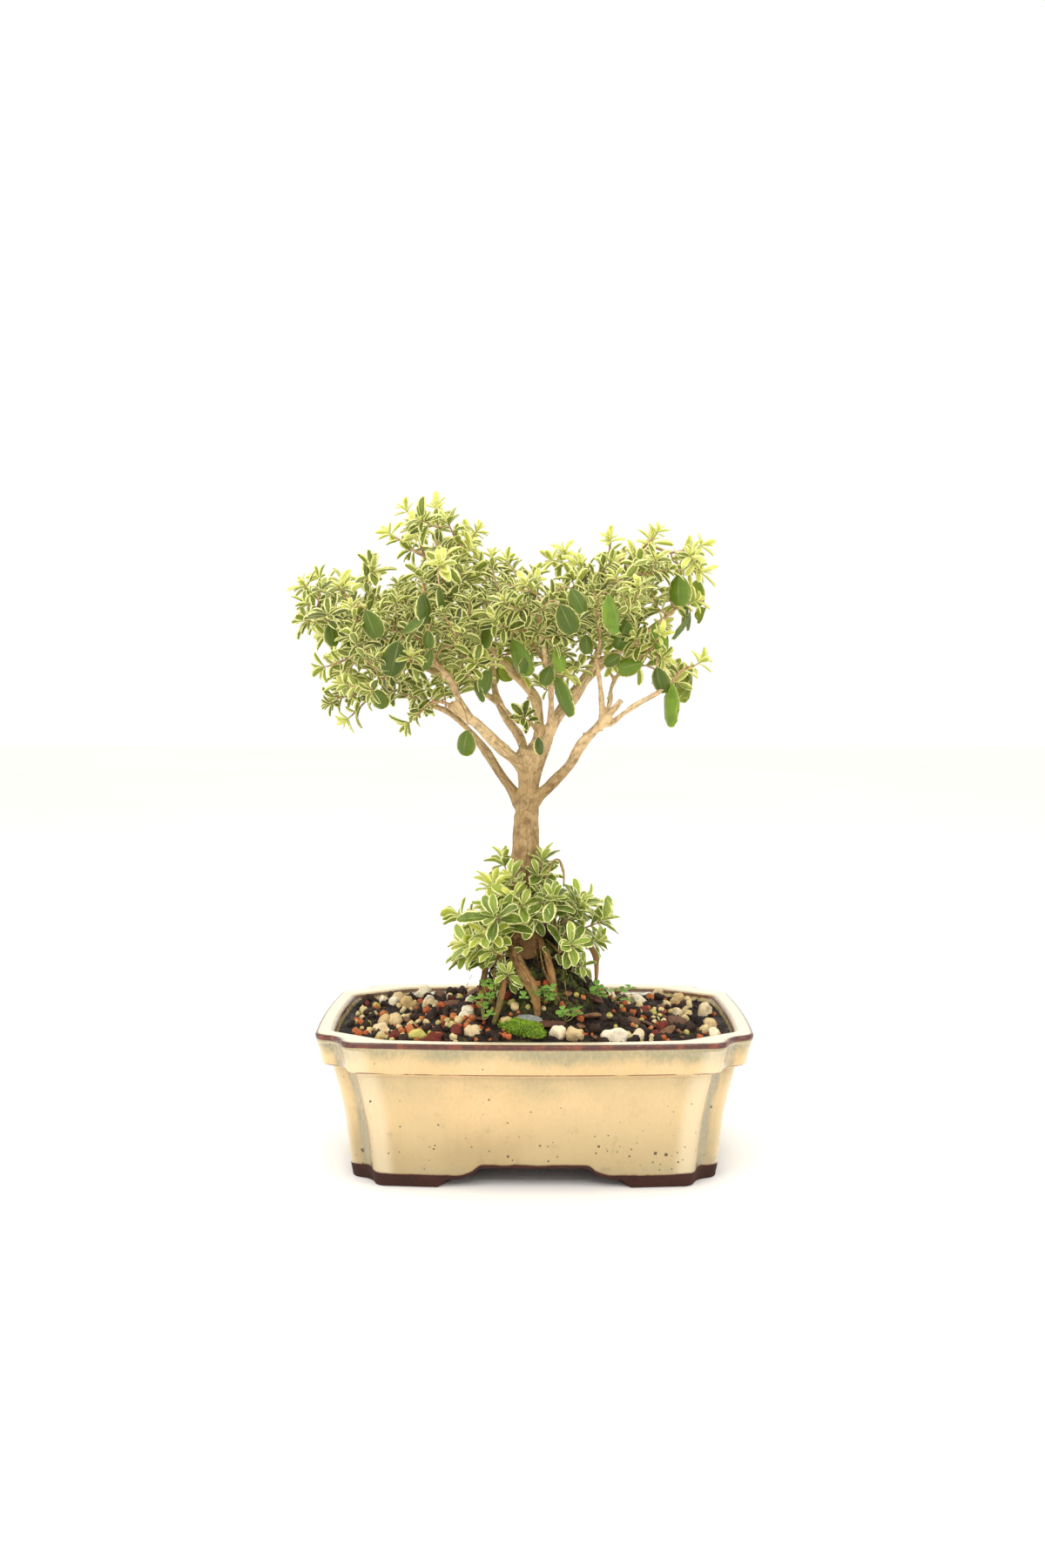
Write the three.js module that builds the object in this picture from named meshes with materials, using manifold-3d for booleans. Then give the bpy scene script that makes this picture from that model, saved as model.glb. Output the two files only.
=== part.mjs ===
// Variegated serissa bonsai in a glazed pot, millimetres, +Z up, front towards -Y.
// The tree is first laid out round the middle of the pot's underside. At the end the
// whole group moves sideways, so that the origin is the bottom centre of its box.

import * as THREE from "three";
import { mergeVertices } from "three/addons/utils/BufferGeometryUtils.js";
import Module from "manifold-3d";

const wasm = await Module();
wasm.setup();

// Driving dimensions of the pot
const POT_WIDTH = 203;
const POT_DEPTH = 128;
const POT_HEIGHT = 70;
const RIM_BAND = 14.8;
const RIM_TOP = 8.5;
const FOOT_HEIGHT = 9.2;
const FLOOR_TOP = 14.5;
const FLOOR_THICK = 5;
const NOTCH = 11;
const CORNER_ROUND = 7;
const FRONT_BOW = 4;
const SIDE_BOW = 1.5;
const HOLLOW_FLOOR = [80, 44.5];
const HOLLOW_KNEE = 62;
const FRONT_CUT = 44;
const SIDE_CUT = 26;
const DRAIN_RADIUS = 8;
const DRAIN_SPACING = 84;
const SCREEN_SIZE = 30;
const SCREEN_THICK = 1;
const SCREEN_HOLES = 2;
const SCREEN_BAR = 1.8;

// Driving dimensions of the planting
const SOIL_EDGE = 66;
const MOUND_HEIGHT = 14;
const MOUND_REACH = 40;
const ROOT_BALL_HEIGHT = 33;
const ROOT_BALL_X = 4;
const ROOT_BALL_REACH = 22;
const BLOCK_TRIM = 8;
const GRIT_STEP = 12;
const GRIT_RELIEF = 1.1;
const CLEARANCE = 0.35;

// Driving dimensions of the foliage
const LEAF_LENGTH = 11;
const LEAF_WIDTH = 5;
const BROAD_LEAF_LENGTH = 15.5;
const BROAD_LEAF_WIDTH = 11;
const SHOOT_LEAF_LENGTH = 14;
const SHOOT_LEAF_WIDTH = 6;
const LEAFLET_LENGTH = 4.4;
const LEAFLET_WIDTH = 4;
const BLADE_THICK = 0.75;
const LEAF_OFFSET = 0.2;
const TWIG_RADIUS = 0.85;
const TWIG_TIP_RADIUS = 0.6;

// Driving dimensions of the crown: spacing of its leafy twigs, how far they stay
// inside its outline, and its half depth at the outline and in the middle
const CROWN_SPACING = 20;
const CROWN_MARGIN = 5;
const CROWN_EDGE_DEPTH = 7;
const CROWN_MORE_DEPTH = 50;
const CROWN_SLOPE = 26;
const CROWN_TRIES = 16000;
const CROWN_SEED = 42;
const TWIGS_PER_SPRAY = 4;

// What two solids may share before they count as crossing, in cubic millimetres
const TOUCHING = 1e-6;

// Corners closer than this merge where leaves and stems are joined
const SHORT_EDGE = 0.1;

const COLOURS = {
  glaze: "#e6cd9a",
  mesh: "#2f3330",
  soil: "#2b221d",
  bark: "#b39a78",
  leaf: "#5d7438",
  shoot: "#8fa565",
  clover: "#5f9447",
  moss: "#7fae2c",
  white: "#e9e2cf",
  cream: "#dccdaa",
  yellow: "#cdbf62",
  lava: "#6e2c22",
  slate: "#7f8585",
  chip: "#5b3324",
};

function finish(colour, roughness) {
  return new THREE.MeshStandardMaterial({ color: colour, roughness, metalness: 0 });
}

const MATERIALS = {
  glaze: finish(COLOURS.glaze, 0.25),
  mesh: finish(COLOURS.mesh, 0.6),
  soil: finish(COLOURS.soil, 0.95),
  bark: finish(COLOURS.bark, 0.85),
  leaf: finish(COLOURS.leaf, 0.5),
  shoot: finish(COLOURS.shoot, 0.5),
  clover: finish(COLOURS.clover, 0.55),
  moss: finish(COLOURS.moss, 0.95),
  white: finish(COLOURS.white, 0.9),
  cream: finish(COLOURS.cream, 0.9),
  yellow: finish(COLOURS.yellow, 0.9),
  lava: finish(COLOURS.lava, 0.95),
  slate: finish(COLOURS.slate, 0.7),
  chip: finish(COLOURS.chip, 0.9),
};

// Random numbers from a seed, the same on every run
function randomFrom(seed) {
  let state = seed >>> 0;
  return () => {
    state = (state + 0x6d2b79f5) >>> 0;
    let mixed = Math.imul(state ^ (state >>> 15), state | 1);
    mixed ^= mixed + Math.imul(mixed ^ (mixed >>> 7), mixed | 61);
    return ((mixed ^ (mixed >>> 14)) >>> 0) / 4294967296;
  };
}

const vec = (point) => new THREE.Vector3(point[0], point[1], point[2]);

// A closed three.js geometry as a solid
function solidOf(geometry) {
  const bare = geometry.index ? geometry.toNonIndexed() : geometry.clone();
  bare.deleteAttribute("normal");
  bare.deleteAttribute("uv");
  const merged = mergeVertices(bare, 1e-4);
  const triVerts = new Uint32Array(merged.index.array);
  const vertProperties = new Float32Array(merged.attributes.position.array);
  return new wasm.Manifold(new wasm.Mesh({ numProp: 3, vertProperties, triVerts }));
}

// The largest connected body of a solid, so that scraps and sealed hollows go
function largestBody(solid) {
  const bodies = solid.decompose();
  return bodies.reduce((best, body) => (body.volume() > best.volume() ? body : best), bodies[0]);
}

function joined(solids) {
  return solids.reduce((sum, solid) => sum.add(solid));
}

function meshOf(name, solid, material) {
  const data = largestBody(solid).getMesh();
  const geometry = new THREE.BufferGeometry();
  geometry.setAttribute("position", new THREE.BufferAttribute(new Float32Array(data.vertProperties), 3));
  geometry.setIndex(new THREE.BufferAttribute(new Uint32Array(data.triVerts), 1));
  geometry.computeVertexNormals();
  const mesh = new THREE.Mesh(geometry, material);
  mesh.name = name;
  return mesh;
}

// Pot

// Plan of the pot: bowed faces, and at each corner a notch with rounded shoulders
function potPlan(halfWidth, halfDepth) {
  const shape = new THREE.Shape();
  const faceX = halfWidth - NOTCH - CORNER_ROUND;
  const faceY = halfDepth - NOTCH - CORNER_ROUND;
  const stepX = halfWidth - NOTCH;
  const stepY = halfDepth - NOTCH;
  const crease = NOTCH - CORNER_ROUND;
  shape.moveTo(-faceX, -halfDepth);
  const corners = [[1, -1], [1, 1], [-1, 1], [-1, -1]];
  corners.forEach(([sx, sy]) => {
    const alongX = sx * sy < 0;
    const face = [sx * faceX, sy * halfDepth];
    const shoulder = [sx * stepX, sy * halfDepth];
    const inner = [sx * stepX, sy * (halfDepth - CORNER_ROUND)];
    const hollow = [sx * stepX, sy * stepY];
    const outer = [sx * (halfWidth - CORNER_ROUND), sy * stepY];
    const side = [sx * halfWidth, sy * stepY];
    const end = [sx * halfWidth, sy * faceY];
    const path = alongX ? [face, shoulder, inner, hollow, outer, side, end]
      : [end, side, outer, hollow, inner, shoulder, face];
    const from = shape.currentPoint;
    const bowX = alongX ? 0 : sx * SIDE_BOW;
    const bowY = alongX ? sy * FRONT_BOW : 0;
    const middle = [(from.x + path[0][0]) / 2 + 2 * bowX, (from.y + path[0][1]) / 2 + 2 * bowY];
    shape.quadraticCurveTo(middle[0], middle[1], path[0][0], path[0][1]);
    shape.quadraticCurveTo(path[1][0], path[1][1], path[2][0], path[2][1]);
    if (crease > 0) shape.quadraticCurveTo(path[3][0], path[3][1], path[4][0], path[4][1]);
    shape.quadraticCurveTo(path[5][0], path[5][1], path[6][0], path[6][1]);
  });
  shape.closePath();
  return shape;
}

// A solid whose plan is the pot's, scaled at each level to the half sizes given there
function potLoft(levels) {
  const halfWidth = POT_WIDTH / 2;
  const halfDepth = POT_DEPTH / 2;
  const last = levels.length - 1;
  const options = { depth: 1, steps: last, bevelEnabled: false, curveSegments: 3 };
  const geometry = new THREE.ExtrudeGeometry(potPlan(halfWidth, halfDepth), options);
  const position = geometry.attributes.position;
  for (let i = 0; i < position.count; i += 1) {
    const [height, width, depth] = levels[Math.round(position.getZ(i) * last)];
    const x = (position.getX(i) * width) / halfWidth;
    const y = (position.getY(i) * depth) / halfDepth;
    position.setXYZ(i, x, y, height);
  }
  return solidOf(geometry);
}

// Cloud-shaped cut between two feet, through the whole pot, along Y or along X
function footCut(halfLength, along) {
  const ledge = FOOT_HEIGHT * 0.4;
  const shape = new THREE.Shape();
  shape.moveTo(-halfLength, -1);
  shape.lineTo(-halfLength, 0);
  shape.quadraticCurveTo(-halfLength + 1, ledge - 0.6, -halfLength + 5, ledge);
  shape.quadraticCurveTo(-halfLength + 14, ledge + 0.6, -halfLength + 17, FOOT_HEIGHT - 2);
  shape.quadraticCurveTo(-halfLength + 18.5, FOOT_HEIGHT, -halfLength + 22, FOOT_HEIGHT);
  shape.lineTo(halfLength - 22, FOOT_HEIGHT);
  shape.quadraticCurveTo(halfLength - 18.5, FOOT_HEIGHT, halfLength - 17, FOOT_HEIGHT - 2);
  shape.quadraticCurveTo(halfLength - 14, ledge + 0.6, halfLength - 5, ledge);
  shape.quadraticCurveTo(halfLength - 1, ledge - 0.6, halfLength, 0);
  shape.lineTo(halfLength, -1);
  shape.closePath();
  const length = POT_WIDTH + 20;
  const options = { depth: length, bevelEnabled: false, curveSegments: 2 };
  const geometry = new THREE.ExtrudeGeometry(shape, options);
  geometry.translate(0, 0, -length / 2);
  geometry.rotateX(Math.PI / 2);
  if (along === "x") geometry.rotateZ(Math.PI / 2);
  return solidOf(geometry);
}

// Half sizes of the hollow, from its floor up past the rim, drawn in by a margin
function hollowLevels(floor, top, margin) {
  const rimWidth = POT_WIDTH / 2 - RIM_TOP;
  const rimDepth = POT_DEPTH / 2 - RIM_TOP;
  return [
    [floor, HOLLOW_FLOOR[0] - margin, HOLLOW_FLOOR[1] - margin],
    [HOLLOW_KNEE, rimWidth - 2.2 - margin, rimDepth - 2.2 - margin],
    [top, rimWidth - margin, rimDepth - margin],
  ];
}

function buildPot() {
  const w = POT_WIDTH / 2;
  const d = POT_DEPTH / 2;
  const band = POT_HEIGHT - RIM_BAND;
  const outside = potLoft([
    [0, w - 16.2, d - 13.6],
    [6, w - 15.2, d - 12.6],
    [30, w - 12.8, d - 10.2],
    [band - 0.4, w - 7.6, d - 5.6],
    [band, w - 3, d - 2.4],
    [POT_HEIGHT - 1, w, d],
    [POT_HEIGHT, w - 1.2, d - 1.2],
  ]);
  const hollow = potLoft(hollowLevels(FLOOR_TOP, POT_HEIGHT + 1, 0));
  const under = potLoft([[-1, w - 27, d - 23], [FLOOR_TOP - FLOOR_THICK, w - 28, d - 24]]);
  const drain = new THREE.CylinderGeometry(DRAIN_RADIUS, DRAIN_RADIUS, 3 * FLOOR_TOP, 12);
  drain.rotateX(Math.PI / 2);
  let pot = outside.subtract(hollow).subtract(under);
  pot = pot.subtract(footCut(FRONT_CUT, "y")).subtract(footCut(SIDE_CUT, "x"));
  [-1, 1].forEach((side) => {
    pot = pot.subtract(solidOf(drain.clone().translate((side * DRAIN_SPACING) / 2, 0, 0)));
  });
  return pot;
}

// Square of coarse mesh that lies over a drain hole: bars that cross at right angles
function buildScreen(centreX) {
  const bars = [];
  const pitch = (SCREEN_SIZE - SCREEN_BAR) / SCREEN_HOLES;
  for (let i = 0; i <= SCREEN_HOLES; i += 1) {
    const offset = (i - SCREEN_HOLES / 2) * pitch;
    const lengthwise = new THREE.BoxGeometry(SCREEN_SIZE, SCREEN_BAR, SCREEN_THICK);
    const crosswise = new THREE.BoxGeometry(SCREEN_BAR, SCREEN_SIZE, SCREEN_THICK);
    bars.push(solidOf(lengthwise.translate(centreX, offset, FLOOR_TOP + CLEARANCE + SCREEN_THICK / 2)));
    bars.push(solidOf(crosswise.translate(centreX + offset, 0, FLOOR_TOP + CLEARANCE + SCREEN_THICK / 2)));
  }
  return joined(bars);
}

// Limbs: tapered tubes along smooth curves

function limbCurve(points) {
  return new THREE.CatmullRomCurve3(points.map(vec), false, "centripetal");
}

// A tube along a curve. It is extruded hair-thin, then each ring swells to its radius.
function tube(curve, radiusAt, sides, steps) {
  const thin = 0.05;
  const section = [];
  for (let i = 0; i < sides; i += 1) {
    const angle = (i / sides) * 2 * Math.PI;
    section.push(new THREE.Vector2(thin * Math.cos(angle), thin * Math.sin(angle)));
  }
  const options = { steps, extrudePath: curve, bevelEnabled: false };
  const geometry = new THREE.ExtrudeGeometry(new THREE.Shape(section), options);
  const centres = curve.getSpacedPoints(steps);
  const position = geometry.attributes.position;
  const point = new THREE.Vector3();
  for (let i = 0; i < position.count; i += 1) {
    point.fromBufferAttribute(position, i);
    let nearest = 0;
    for (let j = 1; j <= steps; j += 1) {
      if (centres[j].distanceToSquared(point) < centres[nearest].distanceToSquared(point)) nearest = j;
    }
    point.sub(centres[nearest]).multiplyScalar(radiusAt(nearest / steps) / thin).add(centres[nearest]);
    position.setXYZ(i, point.x, point.y, point.z);
  }
  return solidOf(geometry);
}

// Each limb: its points from root to tip, its radius at both ends, sides and steps
const LIMBS = {
  trunk: [[[-4, -6, 98], [-4, -5, 112], [-5, -4, 127], [-4, -2, 144], [-4, 0, 162], [-3, 0, 176],
    [-2, 0, 188], [-1, 0, 199]], 6.6, 5.4, 9, 8],
  left_low: [[[-3, 1, 166], [-11, 5, 179], [-17, 9, 187], [-23, 14, 196], [-33, 21, 208], [-42, 26, 216],
    [-51, 30, 220], [-60, 32, 224], [-68, 33, 229]], 3.2, 1.3, 6, 6],
  left_main: [[[-1, 0, 186], [-8, -2, 193], [-15, -5, 199], [-21, -9, 205], [-28, -13, 212],
    [-35, -16, 217], [-40, -18, 221]], 3.9, 2.5, 7, 5],
  left_up: [[[-30, -14, 213], [-36, -19, 224], [-39, -24, 232], [-43, -27, 237], [-51, -32, 242],
    [-60, -35, 244]], 2.1, 1.3, 5, 4],
  left_top: [[[-41, -26, 234], [-49, -8, 237], [-63, 6, 243], [-76, 12, 250], [-85, 16, 255],
    [-91, 18, 260]], 1.9, 1.2, 5, 4],
  left_twig: [[[-87, 17, 256], [-92, 18, 264], [-93, 18, 275]], 1.4, 1.1, 5, 3],
  centre: [[[-1, 0, 196], [2, 4, 205], [2, 7, 215], [0, 9, 225], [-6, 12, 232], [-12, 14, 237]],
    3.4, 2.3, 7, 4],
  high: [[[-9, 13, 235], [-17, 13, 244], [-25, 10, 254], [-34, 5, 268], [-42, 2, 282], [-45, 2, 290],
    [-48, 2, 303]], 2.2, 1.3, 5, 6],
  high_side: [[[-43, 2, 286], [-52, 5, 292], [-61, 8, 297]], 1.4, 1.1, 5, 3],
  back: [[[-3, 2, 190], [-7, 12, 204], [-14, 22, 214], [-20, 34, 228], [-22, 46, 246], [-24, 52, 266]],
    3.0, 1.3, 6, 5],
  back_side: [[[-17, 28, 221], [-34, 36, 232], [-52, 44, 244]], 1.8, 1.2, 5, 3],
  right: [[[0, 0, 190], [5, 2, 202], [10, 4, 213], [20, 8, 226], [26, 10, 235], [30, 12, 243],
    [34, 12, 252], [37, 10, 267], [38, 8, 282]], 4.6, 1.5, 7, 8],
  right_side: [[[28, 11, 240], [38, 5, 245], [48, -2, 251], [62, -10, 262]], 2.0, 1.2, 5, 3],
  right_back: [[[18, 7, 224], [30, 20, 236], [44, 32, 250], [60, 40, 270]], 2.2, 1.2, 5, 3],
  right_high: [[[38, 8, 274], [44, 8, 285], [50, 8, 291], [59, 8, 298]], 1.6, 1.1, 5, 3],
  front: [[[8, 3, 208], [8, -10, 226], [5, -26, 243], [2, -40, 258]], 2.1, 1.2, 5, 4],
  right_low: [[[-3, 0, 168], [2, -3, 176], [8, -6, 182], [17, -10, 192], [22, -13, 201], [30, -16, 210],
    [34, -18, 214]], 3.3, 2.5, 7, 5],
  right_cut: [[[31, -17, 211], [37, -20, 218], [41, -21, 223]], 2.1, 1.7, 6, 2],
  right_rise: [[[32, -17, 211], [32, -17, 222], [31, -17, 231], [29, -20, 243]], 1.6, 1.2, 5, 4],
  right_reach: [[[33, -18, 212], [36, -20, 212], [41, -24, 216], [48, -26, 221], [57, -26, 226],
    [65, -26, 232]], 1.7, 1.1, 5, 5],
  right_lift: [[[33, -18, 213], [36, -14, 222], [37, -9, 229], [42, -4, 238]], 1.5, 1.1, 5, 4],
  stub_a: [[[-29, 9, 260], [-36, -1, 262]], 1.3, 1.1, 5, 2],
  stub_b: [[[-9, 14, 212], [-17, 10, 222]], 1.2, 0.9, 5, 2],
  dry_twig: [[[4, -14, 128], [7, -18, 142], [11, -20, 148], [14, -20, 141], [14, -20, 134]],
    0.9, 0.8, 5, 5],
};

// Roots: they run from the crown out over the mound and dive into it
const ROOTS = [
  [[[-5, -4, 118], [-11, -14, 107], [-8, -23, 102], [-5, -28, 95], [-3, -30, 84], [-2, -31, 74]],
    3.4, 2.4],
  [[[-6, -4, 118], [-15, -13, 108], [-16, -20, 102], [-14, -27, 93], [-16, -34, 82], [-19, -38, 72]],
    2.2, 1.4],
  [[[-6, -3, 116], [-18, -9, 106], [-23, -14, 96], [-24, -19, 84], [-24, -22, 74]], 2.0, 1.4],
  [[[0, -4, 116], [12, -8, 110], [23, -11, 108], [29, -14, 101], [30, -15, 92], [28, -17, 78]], 2.4, 1.4],
  [[[-3, -5, 114], [4, -16, 106], [8, -24, 94], [10, -28, 82], [11, -29, 74]], 2.4, 1.5],
  [[[-3, -2, 116], [10, 8, 108], [20, 16, 96], [27, 22, 84], [31, 25, 74]], 2.8, 1.6],
  [[[-4, 0, 116], [-2, 14, 108], [-1, 24, 94], [1, 31, 82], [2, 34, 72]], 3.0, 1.8],
  [[[-6, -1, 116], [-16, 8, 106], [-22, 14, 94], [-26, 19, 82], [-28, 22, 72]], 2.6, 1.5],
];

const curves = Object.fromEntries(
  Object.entries(LIMBS).map(([name, [points]]) => [name, limbCurve(points)]),
);

// Bark swells where a limb leaves its parent and a little at each old scar
function limbRadius(name, startRadius, endRadius, extra) {
  return (t) => {
    const taper = startRadius + (endRadius - startRadius) * t;
    const scar = name === "trunk" ? 0.7 * Math.sin(t * 17) * Math.sin(t * 5) : 0.12 * Math.sin(t * 19);
    const flare = name === "trunk" ? 2.2 * Math.exp(-t * 9) + 1.2 * Math.exp(-((t - 0.97) ** 2) * 90) : 0;
    return taper + scar + flare + extra;
  };
}

function buildWood(extra) {
  const pieces = Object.entries(LIMBS).map(([name, [, start, end, sides, steps]]) => (
    tube(curves[name], limbRadius(name, start, end, extra), sides, steps)
  ));
  ROOTS.forEach(([points, start, end]) => {
    const radius = (t) => start + (end - start) * t + extra;
    pieces.push(tube(limbCurve(points), radius, 5, 4));
  });
  return largestBody(joined(pieces));
}

// Soil and what lies on it

function soilHeight(x, y) {
  const far = (x * x + y * y) / (MOUND_REACH * MOUND_REACH);
  const near = ((x - ROOT_BALL_X) ** 2 + y * y) / (ROOT_BALL_REACH * ROOT_BALL_REACH);
  return SOIL_EDGE + MOUND_HEIGHT * Math.exp(-far) + ROOT_BALL_HEIGHT * Math.exp(-near);
}

// Block of soil with a grit relief on top, cut to the pot's hollow
function buildMound() {
  const random = randomFrom(41);
  const width = POT_WIDTH - BLOCK_TRIM;
  const depth = POT_DEPTH - BLOCK_TRIM;
  const countX = Math.round(width / GRIT_STEP);
  const countY = Math.round(depth / GRIT_STEP);
  const block = new THREE.BoxGeometry(width, depth, 2, countX, countY, 1);
  const merged = mergeVertices(stripped(block), 1e-4);
  const position = merged.attributes.position;
  for (let i = 0; i < position.count; i += 1) {
    const x = position.getX(i);
    const y = position.getY(i);
    const grit = GRIT_RELIEF * (2 * random() - 1);
    position.setZ(i, position.getZ(i) > 0 ? soilHeight(x, y) + grit : 0);
  }
  return solidOf(merged).intersect(potLoft(hollowLevels(FLOOR_TOP + CLEARANCE, POT_HEIGHT + 30, 0.5)));
}

function stripped(geometry) {
  const bare = geometry.clone();
  bare.deleteAttribute("normal");
  bare.deleteAttribute("uv");
  return bare;
}

// Rounded lump with flats and hollows, sitting in the soil by a part of its height
function lump(place, size, turn, seed, grow) {
  const random = randomFrom(seed);
  const geometry = mergeVertices(stripped(new THREE.DodecahedronGeometry(0.5)), 1e-4);
  const position = geometry.attributes.position;
  for (let i = 0; i < position.count; i += 1) {
    const bump = 1 + 0.24 * (random() - 0.5);
    const sized = [0, 1, 2].map((k) => position.getComponent(i, k) * (size[k] * bump + 2 * grow));
    position.setXYZ(i, sized[0], sized[1], sized[2]);
  }
  geometry.rotateZ(turn);
  geometry.translate(place[0], place[1], soilHeight(place[0], place[1]) + place[2]);
  return solidOf(geometry);
}

// Stones and chips: place (with height over the soil), size, turn, seed and finish
const STONES = {
  stone_white_large: [[37, -47, 1.5], [13, 9, 9], 0.3, 3, "white"],
  stone_white_small: [[11, -48, 1.5], [9, 8, 9], 1.1, 5, "white"],
  stone_yellow: [[-54, -41, 1], [10, 7, 6], 0.2, 7, "yellow"],
  stone_lava: [[-47, -48, 0.8], [13, 8, 6], 0.5, 11, "lava"],
  stone_cream: [[-72, -30, 1.2], [10, 8, 8], 2.1, 13, "cream"],
  chip_bark: [[7, -41, 1.4], [19, 6, 4], 0.15, 17, "chip"],
  chip_slate: [[-2, -38, 1.8], [13, 7, 4], -0.35, 19, "slate"],
};
const MOSS = { place: [-6, -45.5, 0.6], size: [19, 12, 6], turn: -0.5, seed: 23 };

// Leaves

// A blade from a sphere of three or four sides, whose poles are stalk end and tip. With
// three sides it is a shallow keel, with four it is folded up along its rib. It bends
// over towards the tip.
function blade(frame, length, width, options, grow) {
  const { sides = 3, rings = 3, fold = 0.16, bend = 0.18 } = options;
  const sphere = new THREE.SphereGeometry(1, sides, rings);
  if (sides === 3) sphere.rotateY(-Math.PI / 2);
  const geometry = mergeVertices(stripped(sphere), 1e-5);
  const position = geometry.attributes.position;
  const point = new THREE.Vector3();
  for (let i = 0; i < position.count; i += 1) {
    const along = (1 - position.getY(i)) / 2;
    const across = position.getX(i) * (width / 2 + grow);
    const lift = fold * Math.abs(across) - bend * length * along * along;
    const up = position.getZ(i) * (BLADE_THICK / 2 + grow) + lift;
    const out = LEAF_OFFSET + along * (length + 2 * grow) - grow;
    point.copy(frame.base).addScaledVector(frame.along, out);
    point.addScaledVector(frame.across, across).addScaledVector(frame.up, up);
    position.setXYZ(i, point.x, point.y, point.z);
  }
  return solidOf(geometry);
}

// Axes of a leaf that leaves a twig at a point, at a spread angle from the twig
function leafFrame(point, direction, spin, spread, droop) {
  const helper = Math.abs(direction.z) < 0.9 ? new THREE.Vector3(0, 0, 1) : new THREE.Vector3(1, 0, 0);
  const side = helper.cross(direction).normalize().applyAxisAngle(direction, spin);
  const along = direction.clone().multiplyScalar(Math.cos(spread)).addScaledVector(side, Math.sin(spread));
  along.z -= droop;
  along.normalize();
  const up = direction.clone().addScaledVector(along, -direction.dot(along));
  up.z += 0.35;
  up.addScaledVector(along, -up.dot(along)).normalize();
  const across = up.clone().cross(along);
  return { base: point, along, up, across };
}

// What has been placed so far, each piece with room kept round it
const placed = [];

function boxOf(solid) {
  const { min, max } = solid.boundingBox();
  return new THREE.Box3(vec(min), vec(max));
}

function keepRoom(node, solid) {
  placed.push({ node, solid, box: boxOf(solid) });
}

function meets(others, solid) {
  const box = boxOf(solid);
  return others.some((other) => (
    other.box.intersectsBox(box) && other.solid.intersect(solid).volume() > TOUCHING
  ));
}

function crosses(node, solid) {
  return meets(placed.filter((other) => other.node !== node), solid);
}

const woodSolid = buildWood(0);
const woodRoom = buildWood(CLEARANCE);
const moundSolid = buildMound();

const stoneSolids = {};
Object.entries(STONES).forEach(([name, [place, size, turn, seed]]) => {
  const room = lump(place, size, turn, seed, CLEARANCE);
  let solid = lump(place, size, turn, seed, 0).subtract(woodRoom);
  placed.forEach((other) => {
    solid = solid.subtract(other.solid);
  });
  stoneSolids[name] = solid;
  keepRoom(name, room);
});

function buildMoss(grow) {
  return lump(MOSS.place, MOSS.size, MOSS.turn, MOSS.seed, grow);
}

let mossSolid = buildMoss(0).subtract(woodRoom);
placed.forEach((other) => {
  mossSolid = mossSolid.subtract(other.solid);
});
keepRoom("moss_tuft", buildMoss(CLEARANCE));

// A leafy twig grows in its own node in three steps, each taken by all twigs before
// the next one: its stem leaves a limb, side twigs leave the stem for their goals, and
// leaves stand in pairs, each pair a quarter turn from the last. What would cross
// another node turns aside or is left out.
function startTwig(spec) {
  const twig = { spec, random: randomFrom(spec.seed), parts: [], stems: [] };
  const { random } = twig;
  const tip = vec(spec.tip);
  const inwards = spec.from.clone().sub(tip).normalize();
  tip.addScaledVector(inwards, spec.leafLength * spec.leafReach);
  for (let attempt = 0; attempt < 14 && twig.stems.length === 0; attempt += 1) {
    const bow = new THREE.Vector3(random() - 0.5, random() - 0.5, random() * 0.6);
    const reach = spec.from.distanceTo(tip);
    const middle = spec.from.clone().lerp(tip, 0.5).addScaledVector(bow, reach * (0.1 + 0.05 * attempt));
    const curve = new THREE.QuadraticBezierCurve3(spec.from, middle, tip);
    const radius = (t) => spec.radius + (TWIG_TIP_RADIUS - spec.radius) * t;
    const room = tube(curve, (t) => radius(t) + CLEARANCE, 5, 4);
    const share = 1 - room.intersect(woodRoom).volume() / room.volume();
    if (!crosses(spec.name, room) && (share > 0.6 || attempt > 11)) {
      twig.parts.push(tube(curve, radius, 3, 3));
      twig.stems.push({ curve, stations: spec.pairs });
      keepRoom(spec.name, room);
    }
  }
  return twig;
}

function addSideTwigs(twig) {
  const { spec, random, parts, stems } = twig;
  const main = stems[0].curve;
  spec.goals.forEach(({ goal, stations }) => {
    let near = 0.25;
    for (let t = 0.25; t < 0.95; t += 0.05) {
      if (main.getPointAt(t).distanceTo(goal) < main.getPointAt(near).distanceTo(goal)) near = t;
    }
    for (let attempt = 0; attempt < 9; attempt += 1) {
      const shift = new THREE.Vector3(random() - 0.5, random() - 0.5, random() - 0.5);
      const end = goal.clone().addScaledVector(shift, 1.6 * attempt);
      const base = main.getPointAt(Math.max(0.1, near - 0.1 * random() * attempt));
      if (base.distanceTo(end) < 4) continue;
      const curve = new THREE.LineCurve3(base, end);
      const room = tube(curve, () => TWIG_TIP_RADIUS + CLEARANCE, 4, 1);
      const clear = !crosses(spec.name, room) && room.intersect(woodRoom).volume() < 0.3;
      if (clear && room.intersect(moundSolid).volume() < TOUCHING) {
        parts.push(tube(curve, () => TWIG_TIP_RADIUS, 3, 1));
        stems.push({ curve, stations });
        keepRoom(spec.name, room);
        break;
      }
    }
  });
}

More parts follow.
